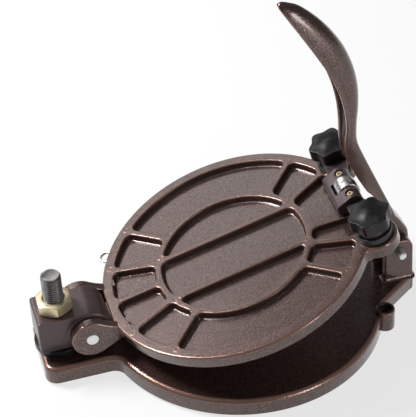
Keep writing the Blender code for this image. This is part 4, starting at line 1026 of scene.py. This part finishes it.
class PRESS_OT_base(Operator):
    """Cast the base with its two lugs, the lever's cheeks and the bolt bosses"""

    bl_idname = "press.base"
    bl_label = "Base"

    def execute(self, context):
        base = settings().base
        shell = Shell()
        outline = base_outline(base)
        height = base.height
        side = np.concatenate([arc((-0.001, 0.001), 0.001, -90.0, 0.0, 3),
                               arc((-base.edge, height - base.edge), base.edge, 0.0, 90.0, 9)])
        # Painted highlight on the table's top edge round.
        painted_light = np.r_[0.0, 0.2, 0.2, 0.0, 0.0, 0.1, 0.3, 0.6, 0.9, 1.0, 0.9, 0.6, 0.3, 0.1]
        grid = carry(outline, side)
        shell.sheet(grid, painted_light=painted_light)
        shell.fill(grid[-1])
        hollows = []
        rim = base.radius - base.rim
        ring = base.ring + base.rib / 2
        spacing = 360.0 / base.rib_count
        for index in range(base.rib_count):
            start = base.rib_turn + spacing * index
            hollows.append(sector(ring, rim, start, start + spacing, base.rib, base.rib_corner))
        hollows.append(circle(base.ring - base.rib / 2, count=96))
        loops = []
        for shape in hollows:
            wall = np.concatenate([arc((0.0006, 0.0006), 0.0006, -90.0, -180.0, 3),
                                   arc((-0.001, base.relief - 0.001), 0.001, 0.0, 90.0, 3)])
            hollow = carry(shape, wall)
            shell.sheet(hollow)
            shell.fill(hollow[-1])
            loops.append(hollow[0])
        shell.fill(grid[0], *loops)
        self.bosses(shell, base)
        self.pads(shell, base)
        for way in (1, -1):
            self.cheek(shell, base, way)
        shell.make("cast_base", "cast_coat", "frame", ["base"], base_place())
        return {"FINISHED"}

    def bosses(self, shell, base):
        """Round bosses with a sunk bolt hole, turned from one closed profile."""
        edge = base.boss_edge
        sink = base.boss_height - base.boss_sink
        profile = np.concatenate([
            [[base.boss_bore, 0.0003], [base.boss - 0.0006, 0.0003], [base.boss, 0.0009]],
            arc((base.boss - edge, base.boss_height - edge), edge, 0.0, 90.0, 5),
            arc((0.0066, base.boss_height - 0.0006), 0.0006, 90.0, 180.0, 3),
            [[0.006, sink], [base.boss_bore, sink]]])
        # Painted highlight on the bosses' top edge round.
        painted_light = np.zeros(len(profile))
        painted_light[4:8] = (0.6, 1.0, 0.8, 0.3)
        for way in (1, -1):
            spot = spot_at(base.boss_reach, base.boss_angle * way)
            shell.sheet(lathe(profile, 56) + spot, painted_light=painted_light, closed_rows=True)

    def pads(self, shell, base):
        """Round pads under the base that carry the rubber feet."""
        profile = [[0.0, 0.0013], [0.0120, 0.0013], [0.0125, 0.0018], [0.0125, 0.0040],
                   [0.0, 0.0040]]
        turn = base.foot_angle
        for angle in (turn, 180.0 - turn, 180.0 + turn, 360.0 - turn):
            shell.sheet(lathe(profile, 40) + spot_at(base.foot_reach, angle))

    def cheek(self, shell, base, way):
        """A cheek of the lever's fork, drawn in x and z and carried across its width, with a
        hollow fillet round its foot."""
        low = base.height - 0.002
        left = base.pivot_reach - base.cheek_back
        right = base.pivot_reach + base.cheek_ahead
        crown = base.pivot_height + base.cheek_over
        round_top = base.cheek_corner
        foot = base.lever_lug - base.edge / 2
        outline = np.concatenate([
            [[left, low], [foot, low]],
            arc((right - round_top, crown - round_top), round_top, 0.0, 90.0, 14),
            arc((left + round_top, crown - round_top), round_top, 90.0, 180.0, 14)])
        near, far = sorted((base.cheek_inner * way, base.cheek_outer * way))
        hole = circle(base.pin_hole, (base.pivot_reach, base.pivot_height), 40)
        slab(shell, outline, hole, near, far, base.cheek_edge)
        skirt = polygon([(left, near), (right, near), (right, far), (left, far)], 0.0015, 3)
        hollow = base.cheek_foot
        rise = np.concatenate([[[hollow, base.height - 0.001]],
                               arc((hollow, base.height + hollow), hollow, -90.0, -180.0, 5)])
        flare = carry(skirt, rise)
        # Painted highlight on the foot's hollow round.
        shell.sheet(flare, painted_light=(0.0, 0.0, 0.2, 0.3, 0.2, 0.1, 0.0))
        shell.fill(flare[0])
        shell.fill(flare[-1])


def roller_path(share):
    """Where the roller's axle lies in the lever's frame, in x and z, when the lever has made a
    share of its stroke: the axle turned about the hinge with the plate, then turned back about
    the pivot with the lever."""
    hinge, pivot, axle = (np.array(JOINTS[name]["pos_m"])[[0, 2]]
                          for name in ("plate_hinge", "lever_pivot", "roller_spin"))
    arm = axle - hinge
    closing = np.radians(JOINTS["plate_hinge"]["range_deg"][0]) * share
    x = arm[0] * np.cos(closing) - arm[1] * np.sin(closing) + hinge[0] - pivot[0]
    z = arm[0] * np.sin(closing) + arm[1] * np.cos(closing) + hinge[1] - pivot[1]
    turn = -np.radians(settings().lever.stroke) * share
    return np.stack([x * np.cos(turn) - z * np.sin(turn), x * np.sin(turn) + z * np.cos(turn)], 1)


def cam_face(shares, reach):
    """The lever's inner face: the roller's path moved sideways by the roller's radius and its
    clearance."""
    here = roller_path(shares)
    way = roller_path(shares + 0.001) - here
    way /= np.linalg.norm(way, axis=1, keepdims=True)
    return here + np.stack([-way[:, 1], way[:, 0]], 1) * reach


# The lever's sections in millimetres from the pivot: front x and z, back x and z, half width,
# squareness of the section and how deep its hollow goes. The front of the rows between heel and
# grip is the cam face.
LEVER_HEEL_ROWS = (
    (0.0, -14.0, 0.0, -14.0, 8.6, 9.0, 0.0), (-5.4, -12.9, 5.4, -12.9, 9.7, 9.0, 0.0),
    (-9.9, -9.9, 9.9, -9.9, 10.0, 9.0, 0.0), (-12.9, -5.4, 12.9, -5.4, 10.0, 9.0, 0.0),
    (-14.0, 0.3, 14.0, 0.0, 10.0, 9.0, 0.0), (-15.2, 5.3, 13.6, 7.2, 10.0, 9.0, 0.0))
LEVER_ARM_BACK = ((12.4, 13.8), (8.8, 20.3), (4.6, 27.0), (0.6, 33.0), (-1.9, 39.0), (-4.5, 45.2),
                  (-7.1, 51.5), (-9.8, 58.0), (-12.6, 64.7), (-15.6, 72.0), (-18.9, 80.0))
LEVER_GRIP_ROWS = (
    (-39.5, 91.0, -27.0, 99.7, 10.0, 9.0, 0.0), (-46.0, 106.0, -32.2, 112.6, 10.0, 8.0, 0.02),
    (-49.0, 118.0, -36.2, 123.4, 10.2, 6.5, 0.16), (-50.0, 129.0, -38.3, 134.0, 10.9, 4.8, 0.34),
    (-49.8, 146.0, -38.5, 151.0, 13.2, 3.6, 0.62), (-51.5, 165.0, -37.0, 170.0, 14.8, 3.0, 0.72),
    (-56.5, 186.0, -37.2, 190.0, 15.2, 2.6, 0.78), (-65.0, 208.0, -42.0, 212.0, 14.8, 2.4, 0.80),
    (-76.0, 229.0, -52.0, 235.0, 13.6, 2.3, 0.80), (-87.0, 248.0, -68.0, 258.0, 11.6, 2.2, 0.78),
    (-98.5, 267.0, -86.0, 276.0, 8.8, 2.1, 0.70), (-104.3, 276.3, -96.8, 282.0, 6.0, 2.0, 0.55),
    (-106.8, 281.0, -103.0, 284.2, 3.0, 2.0, 0.3), (-105.8, 283.4, -105.8, 283.4, 0.4, 2.0, 0.0))


# The painted highlight across a rim of the lever, from its outer skin to its hollow.
RIM_HIGHLIGHT = (0.3, 0.7, 1.0, 0.9, 0.5, 0.5, 0.7, 0.5, 0.3, 0.1)


def lever_rows(lever):
    """All rows of the lever's table, in metres, joined by smooth curves."""
    face = cam_face(np.linspace(1.0, 0.14, 11), lever.roller + lever.clearance) * 1000.0
    arm = np.concatenate([face, LEVER_ARM_BACK, np.tile((10.0, 9.0, 0.0), (11, 1))], 1)
    table = np.concatenate([LEVER_HEEL_ROWS, arm, LEVER_GRIP_ROWS])
    return smooth_rows(table, 5) * (0.001, 0.001, 0.001, 0.001, 0.001, 1.0, 1.0)


def bowed(turn, square):
    """cos and sin of an angle, each to the power 2 / square: a circle pressed towards a square."""
    power = 2.0 / square
    aside = np.sign(np.cos(turn)) * np.abs(np.cos(turn)) ** power
    return aside, np.maximum(np.sin(turn), 0.0) ** power


class PRESS_OT_lever(Operator):
    """Cast the lever: heel, arm and hollow grip in one skin"""

    bl_idname = "press.lever"
    bl_label = "Lever"

    def execute(self, context):
        """Each section has a round back, a rim with round edges and a hollow between the rims:
        y = half * bowed cos, depth = edge + (depth - edge) * bowed sin."""
        lever = settings().lever
        rows = lever_rows(lever)
        front, back = rows[:, 0:2], rows[:, 2:4]
        half = rows[:, 4:5]
        square = rows[:, 5:6]
        depth = np.linalg.norm(back - front, axis=1, keepdims=True)
        way = (back - front) / np.maximum(depth, 1e-6)
        edge = np.minimum(lever.edge, depth * 0.3)
        hollow = np.maximum(rows[:, 6:7], 0.0) * depth
        wall = np.minimum(lever.wall, half * 0.45)
        lip = np.minimum(edge, hollow)
        turn = np.linspace(0.0, math.pi, 33)[None]
        aside, inward = bowed(turn, square)
        outer = np.stack([edge + (depth - edge) * inward, half * aside], 2)
        quarter = np.linspace(0.0, math.pi / 2, 5)[None]
        inner_half = half - wall

        def rim(side):
            """The rim at one side, from the outer skin to the hollow."""
            first = np.stack([edge * (1 - np.sin(quarter)),
                              side * (half - edge * (1 - np.cos(quarter)))], 2)
            second = np.stack([lip * (1 - np.cos(quarter)),
                               side * (inner_half + lip * (1 - np.sin(quarter)))], 2)
            return first, second

        near_out, near_in = rim(-1)
        far_out, far_in = rim(1)
        back_aside, back_inward = bowed(turn[:, ::-1], np.minimum(square, 4.0))
        inner = np.stack([lip + (hollow - lip) * back_inward, inner_half * back_aside], 2)
        loop = np.concatenate([outer, near_out[:, 1:], near_in, inner[:, 1:-1],
                               far_in[:, ::-1], far_out[:, ::-1][:, :-1]], 1)
        spot = front[:, None] + way[:, None] * loop[:, :, :1]
        grid = np.stack([spot[:, :, 0], loop[:, :, 1], spot[:, :, 1]], 2)
        grid[[0, -1]] = grid[[0, -1]].mean(1, keepdims=True)
        shell = Shell()
        shell.sheet(grid)
        # Painted highlight on the two rims.
        painted_light = np.zeros(grid.shape[1])
        start = outer.shape[1] - 1
        painted_light[start:start + len(RIM_HIGHLIGHT)] = RIM_HIGHLIGHT
        painted_light[-len(RIM_HIGHLIGHT):] = RIM_HIGHLIGHT[::-1]
        shell.painted_light[0] = np.tile(painted_light, grid.shape[0])
        shell.make("hand_lever", "cast_coat", "lever", ["lever"],
                   Matrix.Translation(JOINTS["lever_pivot"]["pos_m"]), crease=50.0)
        return {"FINISHED"}


def hexagon_reach(turn, flats):
    """How far a hexagon's side lies from its middle: half its width across flats over the cosine
    of the angle from the nearest flat."""
    return flats / 2 / np.cos((turn + math.pi / 6) % (math.pi / 3) - math.pi / 6)


def spread(rows, count):
    """Rows of a grid, from numbers, single rows and blocks of rows."""
    blocks = [np.atleast_2d(row) for row in rows]
    return np.concatenate([np.broadcast_to(block, (len(block), count)) for block in blocks])


def polar(reach, height, turn):
    """A grid in polar coordinates, its reach and height given as for spread."""
    reach, height = spread(reach, len(turn)), spread(height, len(turn))
    return np.stack([reach * np.cos(turn), reach * np.sin(turn), height], 2)


def turn_grid(count):
    """Evenly spaced angles once round, in radians."""
    return np.linspace(0.0, 2 * math.pi, count, endpoint=False)


class PRESS_OT_height_stack(Operator):
    """Make the height stud, its nut and the black spacer under the hinge block"""

    bl_idname = "press.height_stack"
    bl_label = "Height Stack"

    def execute(self, context):
        stack = settings().stack
        first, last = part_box("height_stud")
        spot = Matrix.Translation(((first[0] + last[0]) / 2, 0.0, 0.0))
        self.stud(stack, last[2], first[2], spot)
        self.nut(stack, spot)
        first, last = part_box("height_spacer")
        profile = washer(stack.stud + stack.spacer_room, stack.spacer, first[2], last[2],
                         stack.spacer_edge, 4)
        single(lathe(profile, 96), "stack_spacer", "knob_black", "frame", ["height_spacer"], spot,
               closed_rows=True)
        return {"FINISHED"}

    def stud(self, stack, top, bottom, spot):
        """A screw thread: the radius falls by a rounded triangle wave of height / pitch - angle /
        2 pi, and is held inside the cone of the end's chamfer."""
        turn = turn_grid(72)
        pitch = stack.pitch
        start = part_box("height_nut")[0][2] + 0.002
        count = int((top - start) / pitch * 10)
        height = np.linspace(start, top, count + 1)[:, None]
        wave = np.abs(((height / pitch - turn / (2 * math.pi)) % 1.0) * 2 - 1)
        groove = stack.thread * np.clip(wave * 1.25 - 0.12, 0.0, 1.0)
        cone = stack.stud - np.maximum(height - (top - stack.chamfer), 0.0)
        reach = np.minimum(stack.stud - groove, cone)
        shell = Shell()
        shank = bottom + 0.0095
        grid = polar((stack.stud, stack.stud, reach), (shank, start - 0.0004, height), turn)
        shell.sheet(grid)
        # Painted shade in the thread's grooves, deepest at their roots.
        shell.painted_light[0] = spread((0.0, 0.0, groove / stack.thread), len(turn)).ravel()
        shell.fill(grid[0])
        shell.fill(grid[-1])
        head = turn_grid(60)
        flats = hexagon_reach(head, stack.nut_flats)
        crown = bottom + 0.010
        shell.sheet(polar((0.0, flats - 0.0008, flats, flats, 0.0),
                          (bottom, bottom, bottom + 0.0008, crown, crown), head))
        shell.make("threaded_stud", "stud_steel", "frame", ["height_stud"], spot, crease=30.0)

    def nut(self, stack, spot):
        """A hexagon nut whose corners a cone cuts at 30 degrees: height = top - tan 30 * (reach of
        the side - radius of the washer face)."""
        low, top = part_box("height_nut")[0][2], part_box("height_nut")[1][2]
        turn = turn_grid(96)
        side = hexagon_reach(turn, stack.nut_flats)
        face = stack.nut_flats * 0.475
        drop = math.tan(math.radians(30.0)) * (side - face)
        bore = stack.stud + 0.0003
        reach = (bore, bore + 0.0009, face, side - 0.00012, side, side, side - 0.00012, face, bore)
        height = (top - 0.0009, top, top, top - drop + 0.00006, top - drop - 0.00012,
                  low + drop + 0.00012, low + drop - 0.00006, low, low)
        single(polar(reach, height, turn), "zinc_nut", "gold_zinc", "frame", ["height_nut"], spot,
               crease=32.0, closed_rows=True)


class PRESS_OT_hinge_block(Operator):
    """Cast the hinge block with its barrel, and the bush and pin in it"""

    bl_idname = "press.hinge_block"
    bl_label = "Hinge Block"

    def execute(self, context):
        block = settings().block
        (left, _, low), (_, reach, top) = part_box("hinge_block")
        hinge = JOINTS["plate_hinge"]["pos_m"]
        axis = (hinge[0], hinge[2])
        sill = math.degrees(math.asin((low - hinge[2]) / block.barrel))
        shell = Shell()
        bottom = np.array([axis[0] + block.barrel * math.cos(math.radians(sill)), low])
        top_spot = np.array([axis[0], axis[1] + block.barrel])
        corner = polygon([(left, low), (left + 0.02, low), (left + 0.02, top), (left, top)],
                         block.corner, 4)
        ends = corner[corner[:, 0] < left + 0.005]
        order = np.argsort(-ends[:, 1])
        outline = np.concatenate([[bottom], arc(axis, block.barrel, sill, 90.0, 40)[1:-1],
                                  [top_spot], ends[order]])
        hole = circle(block.bush, axis, 56)
        boss = block.barrel - block.edge * 0.6 - block.bush
        chamfer = 0.0008
        rows = [[0.0, reach], [boss - chamfer, reach], [boss, reach - chamfer],
                [boss, chamfer - reach], [boss - chamfer, -reach], [0.0, -reach]]
        # Painted highlight on the block's round edges and on the boss round the bore.
        slab(shell, outline, hole, -block.half, block.half, block.edge,
             painted_light=(0.2, 0.8, 1.0, 0.7, 0.2, 0.2, 0.7, 1.0, 0.8, 0.2),
             between=lambda: shell.sheet(across(hole, rows), closed_rows=True,
                                         painted_light=(0.0, 0.4, 0.4, 0.4, 0.4, 0.0)))
        shell.make("cast_block", "block_coat", "frame", ["hinge_block"])
        return {"FINISHED"}


class PRESS_OT_pins(Operator):
    """Turn the hinge pin, the lever's pin and the roller's axle"""

    bl_idname = "press.pins"
    bl_label = "Pins"

    def execute(self, context):
        """Each pin is turned from a profile of (radius, place) with chamfered ends."""
        pins = settings().pins
        pivot = Matrix.Translation(JOINTS["lever_pivot"]["pos_m"])
        hinge = Matrix.Translation(JOINTS["plate_hinge"]["pos_m"])
        sizes = (("hinge_pin", "plate", hinge, pins.hinge, 0.0006),
                 ("lever_pin", "frame", pivot, pins.lever, 0.0010),
                 ("roller_axle", "plate", axle_place(), pins.axle, 0.0003))
        for name, body, place, radius, chamfer in sizes:
            low, high = -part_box(name)[1][1], -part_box(name)[0][1]
            profile = [[0.0, high], [radius - chamfer, high], [radius, high - chamfer],
                       [radius, low + chamfer], [radius - chamfer, low], [0.0, low]]
            single(lathe(profile, 56), f"turned_{name}", "bright_steel", body, [name],
                   place @ SIDEWAYS, crease=25.0)
        return {"FINISHED"}


def knob_place(way):
    """The frame of the knob at the near (-1) or far (+1) ear, with Z along its stud."""
    plate = settings().plate
    return hinge_place() @ Matrix.Translation((plate.hinge_reach + plate.knob_place[0],
                                               plate.knob_place[1] * way, 0.0))


class PRESS_OT_knobs(Operator):
    """Mould the two star knobs and the grey spacers under them"""

    bl_idname = "press.knobs"
    bl_label = "Star Knobs"

    def execute(self, context):
        """The star's outline is radius - (radius - waist) * ((1 - cos 6a) / 2) ^ sharpness. Its top
        rises by dome * (1 + cos(pi * share)) / 2 from the edge (share 1) to the middle (share 0),
        while the outline fades into a circle with share squared."""
        knob = settings().knob
        turn = turn_grid(144)
        star = knob.radius - ((knob.radius - knob.waist)
                              * ((1 - np.cos(6 * turn)) / 2) ** knob.sharpness)
        low = knob.low
        skirt = low + knob.neck_height
        top = skirt + knob.skirt
        edge = knob.edge
        foot = skirt - knob.cup
        round_up = np.linspace(0.0, math.pi / 2, 6)[1:, None]
        share = np.linspace(1.0, 0.0, 16)[1:, None]
        inner = knob.waist - edge - 0.0004
        lip = star - edge - 0.0004
        reach = (0.0, knob.neck - 0.0004, knob.neck, knob.neck, knob.cup_radius,
                 knob.cup_radius + 0.0004, star - 0.0012, star - 0.0004, star, star - 0.0004,
                 star - 0.0004 - edge * (1 - np.cos(round_up)),
                 share * (inner + (lip - inner) * share ** 2))
        height = (low, low, low + 0.0004, skirt, skirt, foot, foot, foot + 0.0003, foot + 0.0012,
                  top - edge, top - edge * (1 - np.sin(round_up)),
                  top + knob.dome * (1 + np.cos(math.pi * share)) / 2)
        for label, way in (("near", -1), ("far", 1)):
            single(polar(reach, height, turn), f"star_knob_{label}", "knob_black",
                   f"{label}_knob", [f"knob_{label}"], knob_place(way), crease=50.0)
            profile = washer(knob.spacer_bore, knob.spacer, knob.spacer_low,
                             knob.spacer_low + knob.spacer_height, knob.spacer_edge, 3)
            single(lathe(profile, 80), f"grey_spacer_{label}", "spacer_grey", "plate",
                   [f"knob_spacer_{label}"], knob_place(way), closed_rows=True)
        return {"FINISHED"}


class PRESS_OT_roller(Operator):
    """Make the roller's bright rings, the clamp screws and the bridge that holds them"""

    bl_idname = "press.roller"
    bl_label = "Roller and Bridge"

    def execute(self, context):
        roller = settings().roller
        for label, way in (("near", -1), ("far", 1)):
            self.ring(roller, label, way)
            self.screw(roller, label, way)
        mesh = frame["nodes"]["roller_bridge"].data.copy()
        mesh.name = "cast_bridge"
        work = bmesh.new()
        work.from_mesh(mesh)
        bmesh.ops.remove_doubles(work, verts=work.verts, dist=5e-6)
        bmesh.ops.dissolve_limit(work, angle_limit=math.radians(0.6), verts=work.verts,
                                 edges=work.edges)
        work.to_mesh(mesh)
        work.free()
        mesh.shade_smooth()
        bridge = show("cast_bridge", mesh, "block_coat", "plate", ["roller_bridge"], crease=45.0)
        round_off = bridge.modifiers.new("round_edges", "BEVEL")
        round_off.width = roller.bridge_edge
        round_off.segments = 3
        round_off.limit_method = "ANGLE"
        round_off.angle_limit = math.radians(35.0)
        # The bevel has to come before the evened shading.
        bridge.modifiers.move(1, 0)
        return {"FINISHED"}

    def ring(self, roller, label, way):
        """An outer bearing ring turned from one closed profile with round edges."""
        low, high = sorted((roller.gap * way, (roller.gap + roller.width) * way))
        low, high = -high, -low
        edge = 0.0005
        outer, race = roller.radius, roller.race
        profile = np.concatenate([
            [[race, low + 0.0002], [race + 0.0002, low]],
            arc((outer - edge, low + edge), edge, -90.0, 0.0, 4),
            arc((outer - edge, high - edge), edge, 0.0, 90.0, 4),
            [[race + 0.0002, high], [race, high - 0.0002]]])
        single(lathe(profile, 96), f"bearing_ring_{label}", "bearing_chrome", "roller",
               [f"bearing_outer_{label}"], axle_place() @ SIDEWAYS, crease=30.0,
               closed_rows=True)

    def screw(self, roller, label, way):
        """A socket screw: a turned head whose inner rows follow a hexagon."""
        turn = turn_grid(72)
        hole = hexagon_reach(turn, roller.socket)
        head, foot, crown = roller.screw, roller.screw_foot, roller.screw_crown
        reach = (0.0, head, head, head - 0.0004, hole + 0.00015, hole, hole, 0.0)
        height = (foot, foot, crown - 0.0004, crown, crown, crown - 0.0002, crown - 0.0019,
                  crown - 0.0021)
        place = axle_place() @ Matrix.Translation((0.0, roller.screw_place * way, 0.0))
        single(polar(reach, height, turn), f"socket_screw_{label}", "gold_zinc", "plate",
               [f"clamp_screw_{label}"], place, crease=30.0)


class PRESS_OT_wire_eye(Operator):
    """Bend the bright wire eye in the plate's edge"""

    bl_idname = "press.wire_eye"
    bl_label = "Wire Eye"

    def execute(self, context):
        """A round section carried along a U: path + radius * (cos a * side + sin a * up)."""
        plate = settings().plate
        wire = settings().wire
        start = plate.radius - wire.sink
        bow = plate.radius + wire.out - wire.radius - wire.half
        legs = np.linspace(start, bow, 5)[:-1, None]
        near = np.concatenate([legs, np.full_like(legs, -wire.half)], 1)
        path = np.concatenate([near, arc((bow, 0.0), wire.half, -90.0, 90.0, 24),
                               (near * (1, -1))[::-1]])
        ahead = np.gradient(path, axis=0)
        ahead /= np.linalg.norm(ahead, axis=1, keepdims=True)
        side = np.stack([ahead[:, 1], -ahead[:, 0]], 1)
        turn = turn_grid(20)
        swing = wire.radius * np.cos(turn)[None, :, None] * side[:, None]
        flat = path[:, None] + swing
        lift = np.broadcast_to(wire.radius * np.sin(turn)[None, :, None], flat.shape[:2] + (1,))
        grid = np.concatenate([flat, lift], 2)
        shell = Shell()
        shell.sheet(grid)
        for row in (0, -1):
            shell.fill(grid[row], axes=(1, 2))
        place = (hinge_place() @ Matrix.Translation((plate.hinge_reach, 0.0,
                                                     (plate.top + plate.low) / 2))
                 @ Matrix.Rotation(wire.angle, 4, "Z"))
        shell.make("bent_wire", "bright_steel", "plate", ["wire_eye"], place)
        return {"FINISHED"}


WHITE = (1.0, 1.0, 1.0, 1.0)


def soft_box(name, place, aim, size, power):
    """An area lamp at a place, turned to its aim."""
    lamp = bpy.data.lights.new(name, "AREA")
    lamp.shape = "RECTANGLE"
    lamp.size = size[0]
    lamp.size_y = size[1]
    lamp.energy = power
    holder = bpy.data.objects.new(name, lamp)
    holder.location = place
    holder.rotation_euler = (Vector(aim) - Vector(place)).to_track_quat("-Z", "Y").to_euler()
    bpy.context.scene.collection.objects.link(holder)


def seen_ray(tree):
    """1 for what the camera, a reflection or glass sees, 0 for light that falls on a surface."""
    ray = add_node(tree, "ShaderNodeLightPath")
    mirror = reckon(tree, "MAXIMUM", ray.outputs["Is Camera Ray"], ray.outputs["Is Glossy Ray"])
    return reckon(tree, "MAXIMUM", mirror, ray.outputs["Is Transmission Ray"])


def make_world(studio):
    """A plain surround, lighter overhead than at the horizon."""
    world = bpy.data.worlds.new("studio_world")
    bpy.context.scene.world = world
    tree = new_tree(world)
    place = add_node(tree, "ShaderNodeTexCoord").outputs["Generated"]
    height = add_node(tree, "ShaderNodeSeparateXYZ", inputs={0: place}).outputs["Z"]
    level = ranged(tree, height, 0.0, 1.0, studio.ambient * 0.55, studio.ambient)
    surround = add_node(tree, "ShaderNodeBackground", inputs={"Color": WHITE, "Strength": level})
    add_node(tree, "ShaderNodeOutputWorld", inputs={"Surface": surround.outputs["Background"]})


def floor_material(studio):
    """Matt white, lifted towards pure white where it is seen, so that only shadow stays."""
    material = bpy.data.materials.new("studio_floor")
    tree = new_tree(material)
    matt = add_node(tree, "ShaderNodeBsdfDiffuse", inputs={"Color": rgba(studio.floor)})
    glow = add_node(tree, "ShaderNodeEmission", inputs={"Color": WHITE})
    mixed = add_node(tree, "ShaderNodeMixShader",
                     inputs={0: reckon(tree, "MULTIPLY", seen_ray(tree), 0.72),
                             1: matt.outputs["BSDF"], 2: glow.outputs["Emission"]})
    add_node(tree, "ShaderNodeOutputMaterial", inputs={"Surface": mixed.outputs["Shader"]})
    return material


# The lamps: name, place, aim, width and height in metres, and power in watts.
LAMPS = (("key_lamp", (-1.0, 0.7, 1.3), (0.0, 0.0, 0.05), (0.6, 0.35), 34.0),
         ("back_lamp", (-0.4, 1.5, 1.25), (0.0, 0.0, 0.05), (1.3, 0.5), 3.8),
         ("front_lamp", (0.95, -1.7, 0.35), (0.1, 0.0, 0.2), (0.5, 0.6), 11.0))


class PRESS_OT_studio(Operator):
    """Set the camera, the white floor and the soft lamps"""

    bl_idname = "press.studio"
    bl_label = "Studio"

    def execute(self, context):
        studio = settings().studio
        scene = context.scene
        scene.view_settings.view_transform = "Standard"
        turn = (Matrix.Rotation(studio.azimuth, 4, "Z")
                @ Matrix.Rotation(math.pi / 2 - studio.elevation, 4, "X")
                @ Matrix.Rotation(studio.roll, 4, "Z"))
        sight = bpy.data.cameras.new("photo_camera")
        sight.sensor_width = 36.0
        sight.lens = studio.lens
        camera = bpy.data.objects.new("photo_camera", sight)
        back = turn.to_3x3() @ Vector((0.0, 0.0, studio.distance))
        camera.matrix_world = Matrix.Translation(Vector(studio.target) + back) @ turn
        scene.collection.objects.link(camera)
        scene.camera = camera
        make_world(studio)
        half = 3.0
        corners = [(-half, -half, 0.0), (half, -half, 0.0), (half, half, 0.0), (-half, half, 0.0)]
        mesh = bpy.data.meshes.new("studio_floor")
        mesh.from_pydata(corners, [], [(0, 1, 2, 3)])
        mesh.materials.append(floor_material(studio))
        floor = bpy.data.objects.new("studio_floor", mesh)
        scene.collection.objects.link(floor)
        for lamp in LAMPS:
            soft_box(*lamp)
        return {"FINISHED"}


class PRESS_PT_panel(Panel):
    """The press's build steps"""

    bl_idname = "PRESS_PT_panel"
    bl_label = "Tortilla Press"
    bl_space_type = "VIEW_3D"
    bl_region_type = "UI"
    bl_category = "Press"

    def draw(self, context):
        for operator in OPERATORS:
            self.layout.operator(operator.bl_idname)


SETTINGS = (PlateSettings, BaseSettings, LeverSettings, KnobSettings, StackSettings,
            BlockSettings, PinSettings, RollerSettings, WireSettings, FinishSettings,
            StudioSettings, PressSettings)
OPERATORS = (PRESS_OT_studio, PRESS_OT_finishes, PRESS_OT_base, PRESS_OT_top_plate, PRESS_OT_lever,
             PRESS_OT_height_stack, PRESS_OT_hinge_block, PRESS_OT_pins, PRESS_OT_knobs,
             PRESS_OT_roller, PRESS_OT_wire_eye)
CLASSES = SETTINGS + OPERATORS + (PRESS_PT_panel,)


def register():
    """Make the settings, operators and panel known to Blender."""
    for cls in CLASSES:
        bpy.utils.register_class(cls)
    bpy.types.Scene.tortilla_press = PointerProperty(type=PressSettings)


def unregister():
    """Take the settings, operators and panel away again."""
    del bpy.types.Scene.tortilla_press
    for cls in reversed(CLASSES):
        bpy.utils.unregister_class(cls)


def main():
    """Build the press step by step."""
    register()
    bpy.ops.press.studio()
    bpy.ops.press.finishes()
    bpy.ops.press.base()
    bpy.ops.press.top_plate()
    bpy.ops.press.lever()
    bpy.ops.press.height_stack()
    bpy.ops.press.hinge_block()
    bpy.ops.press.pins()
    bpy.ops.press.knobs()
    bpy.ops.press.roller()
    bpy.ops.press.wire_eye()


if __name__ == "__main__":
    main()
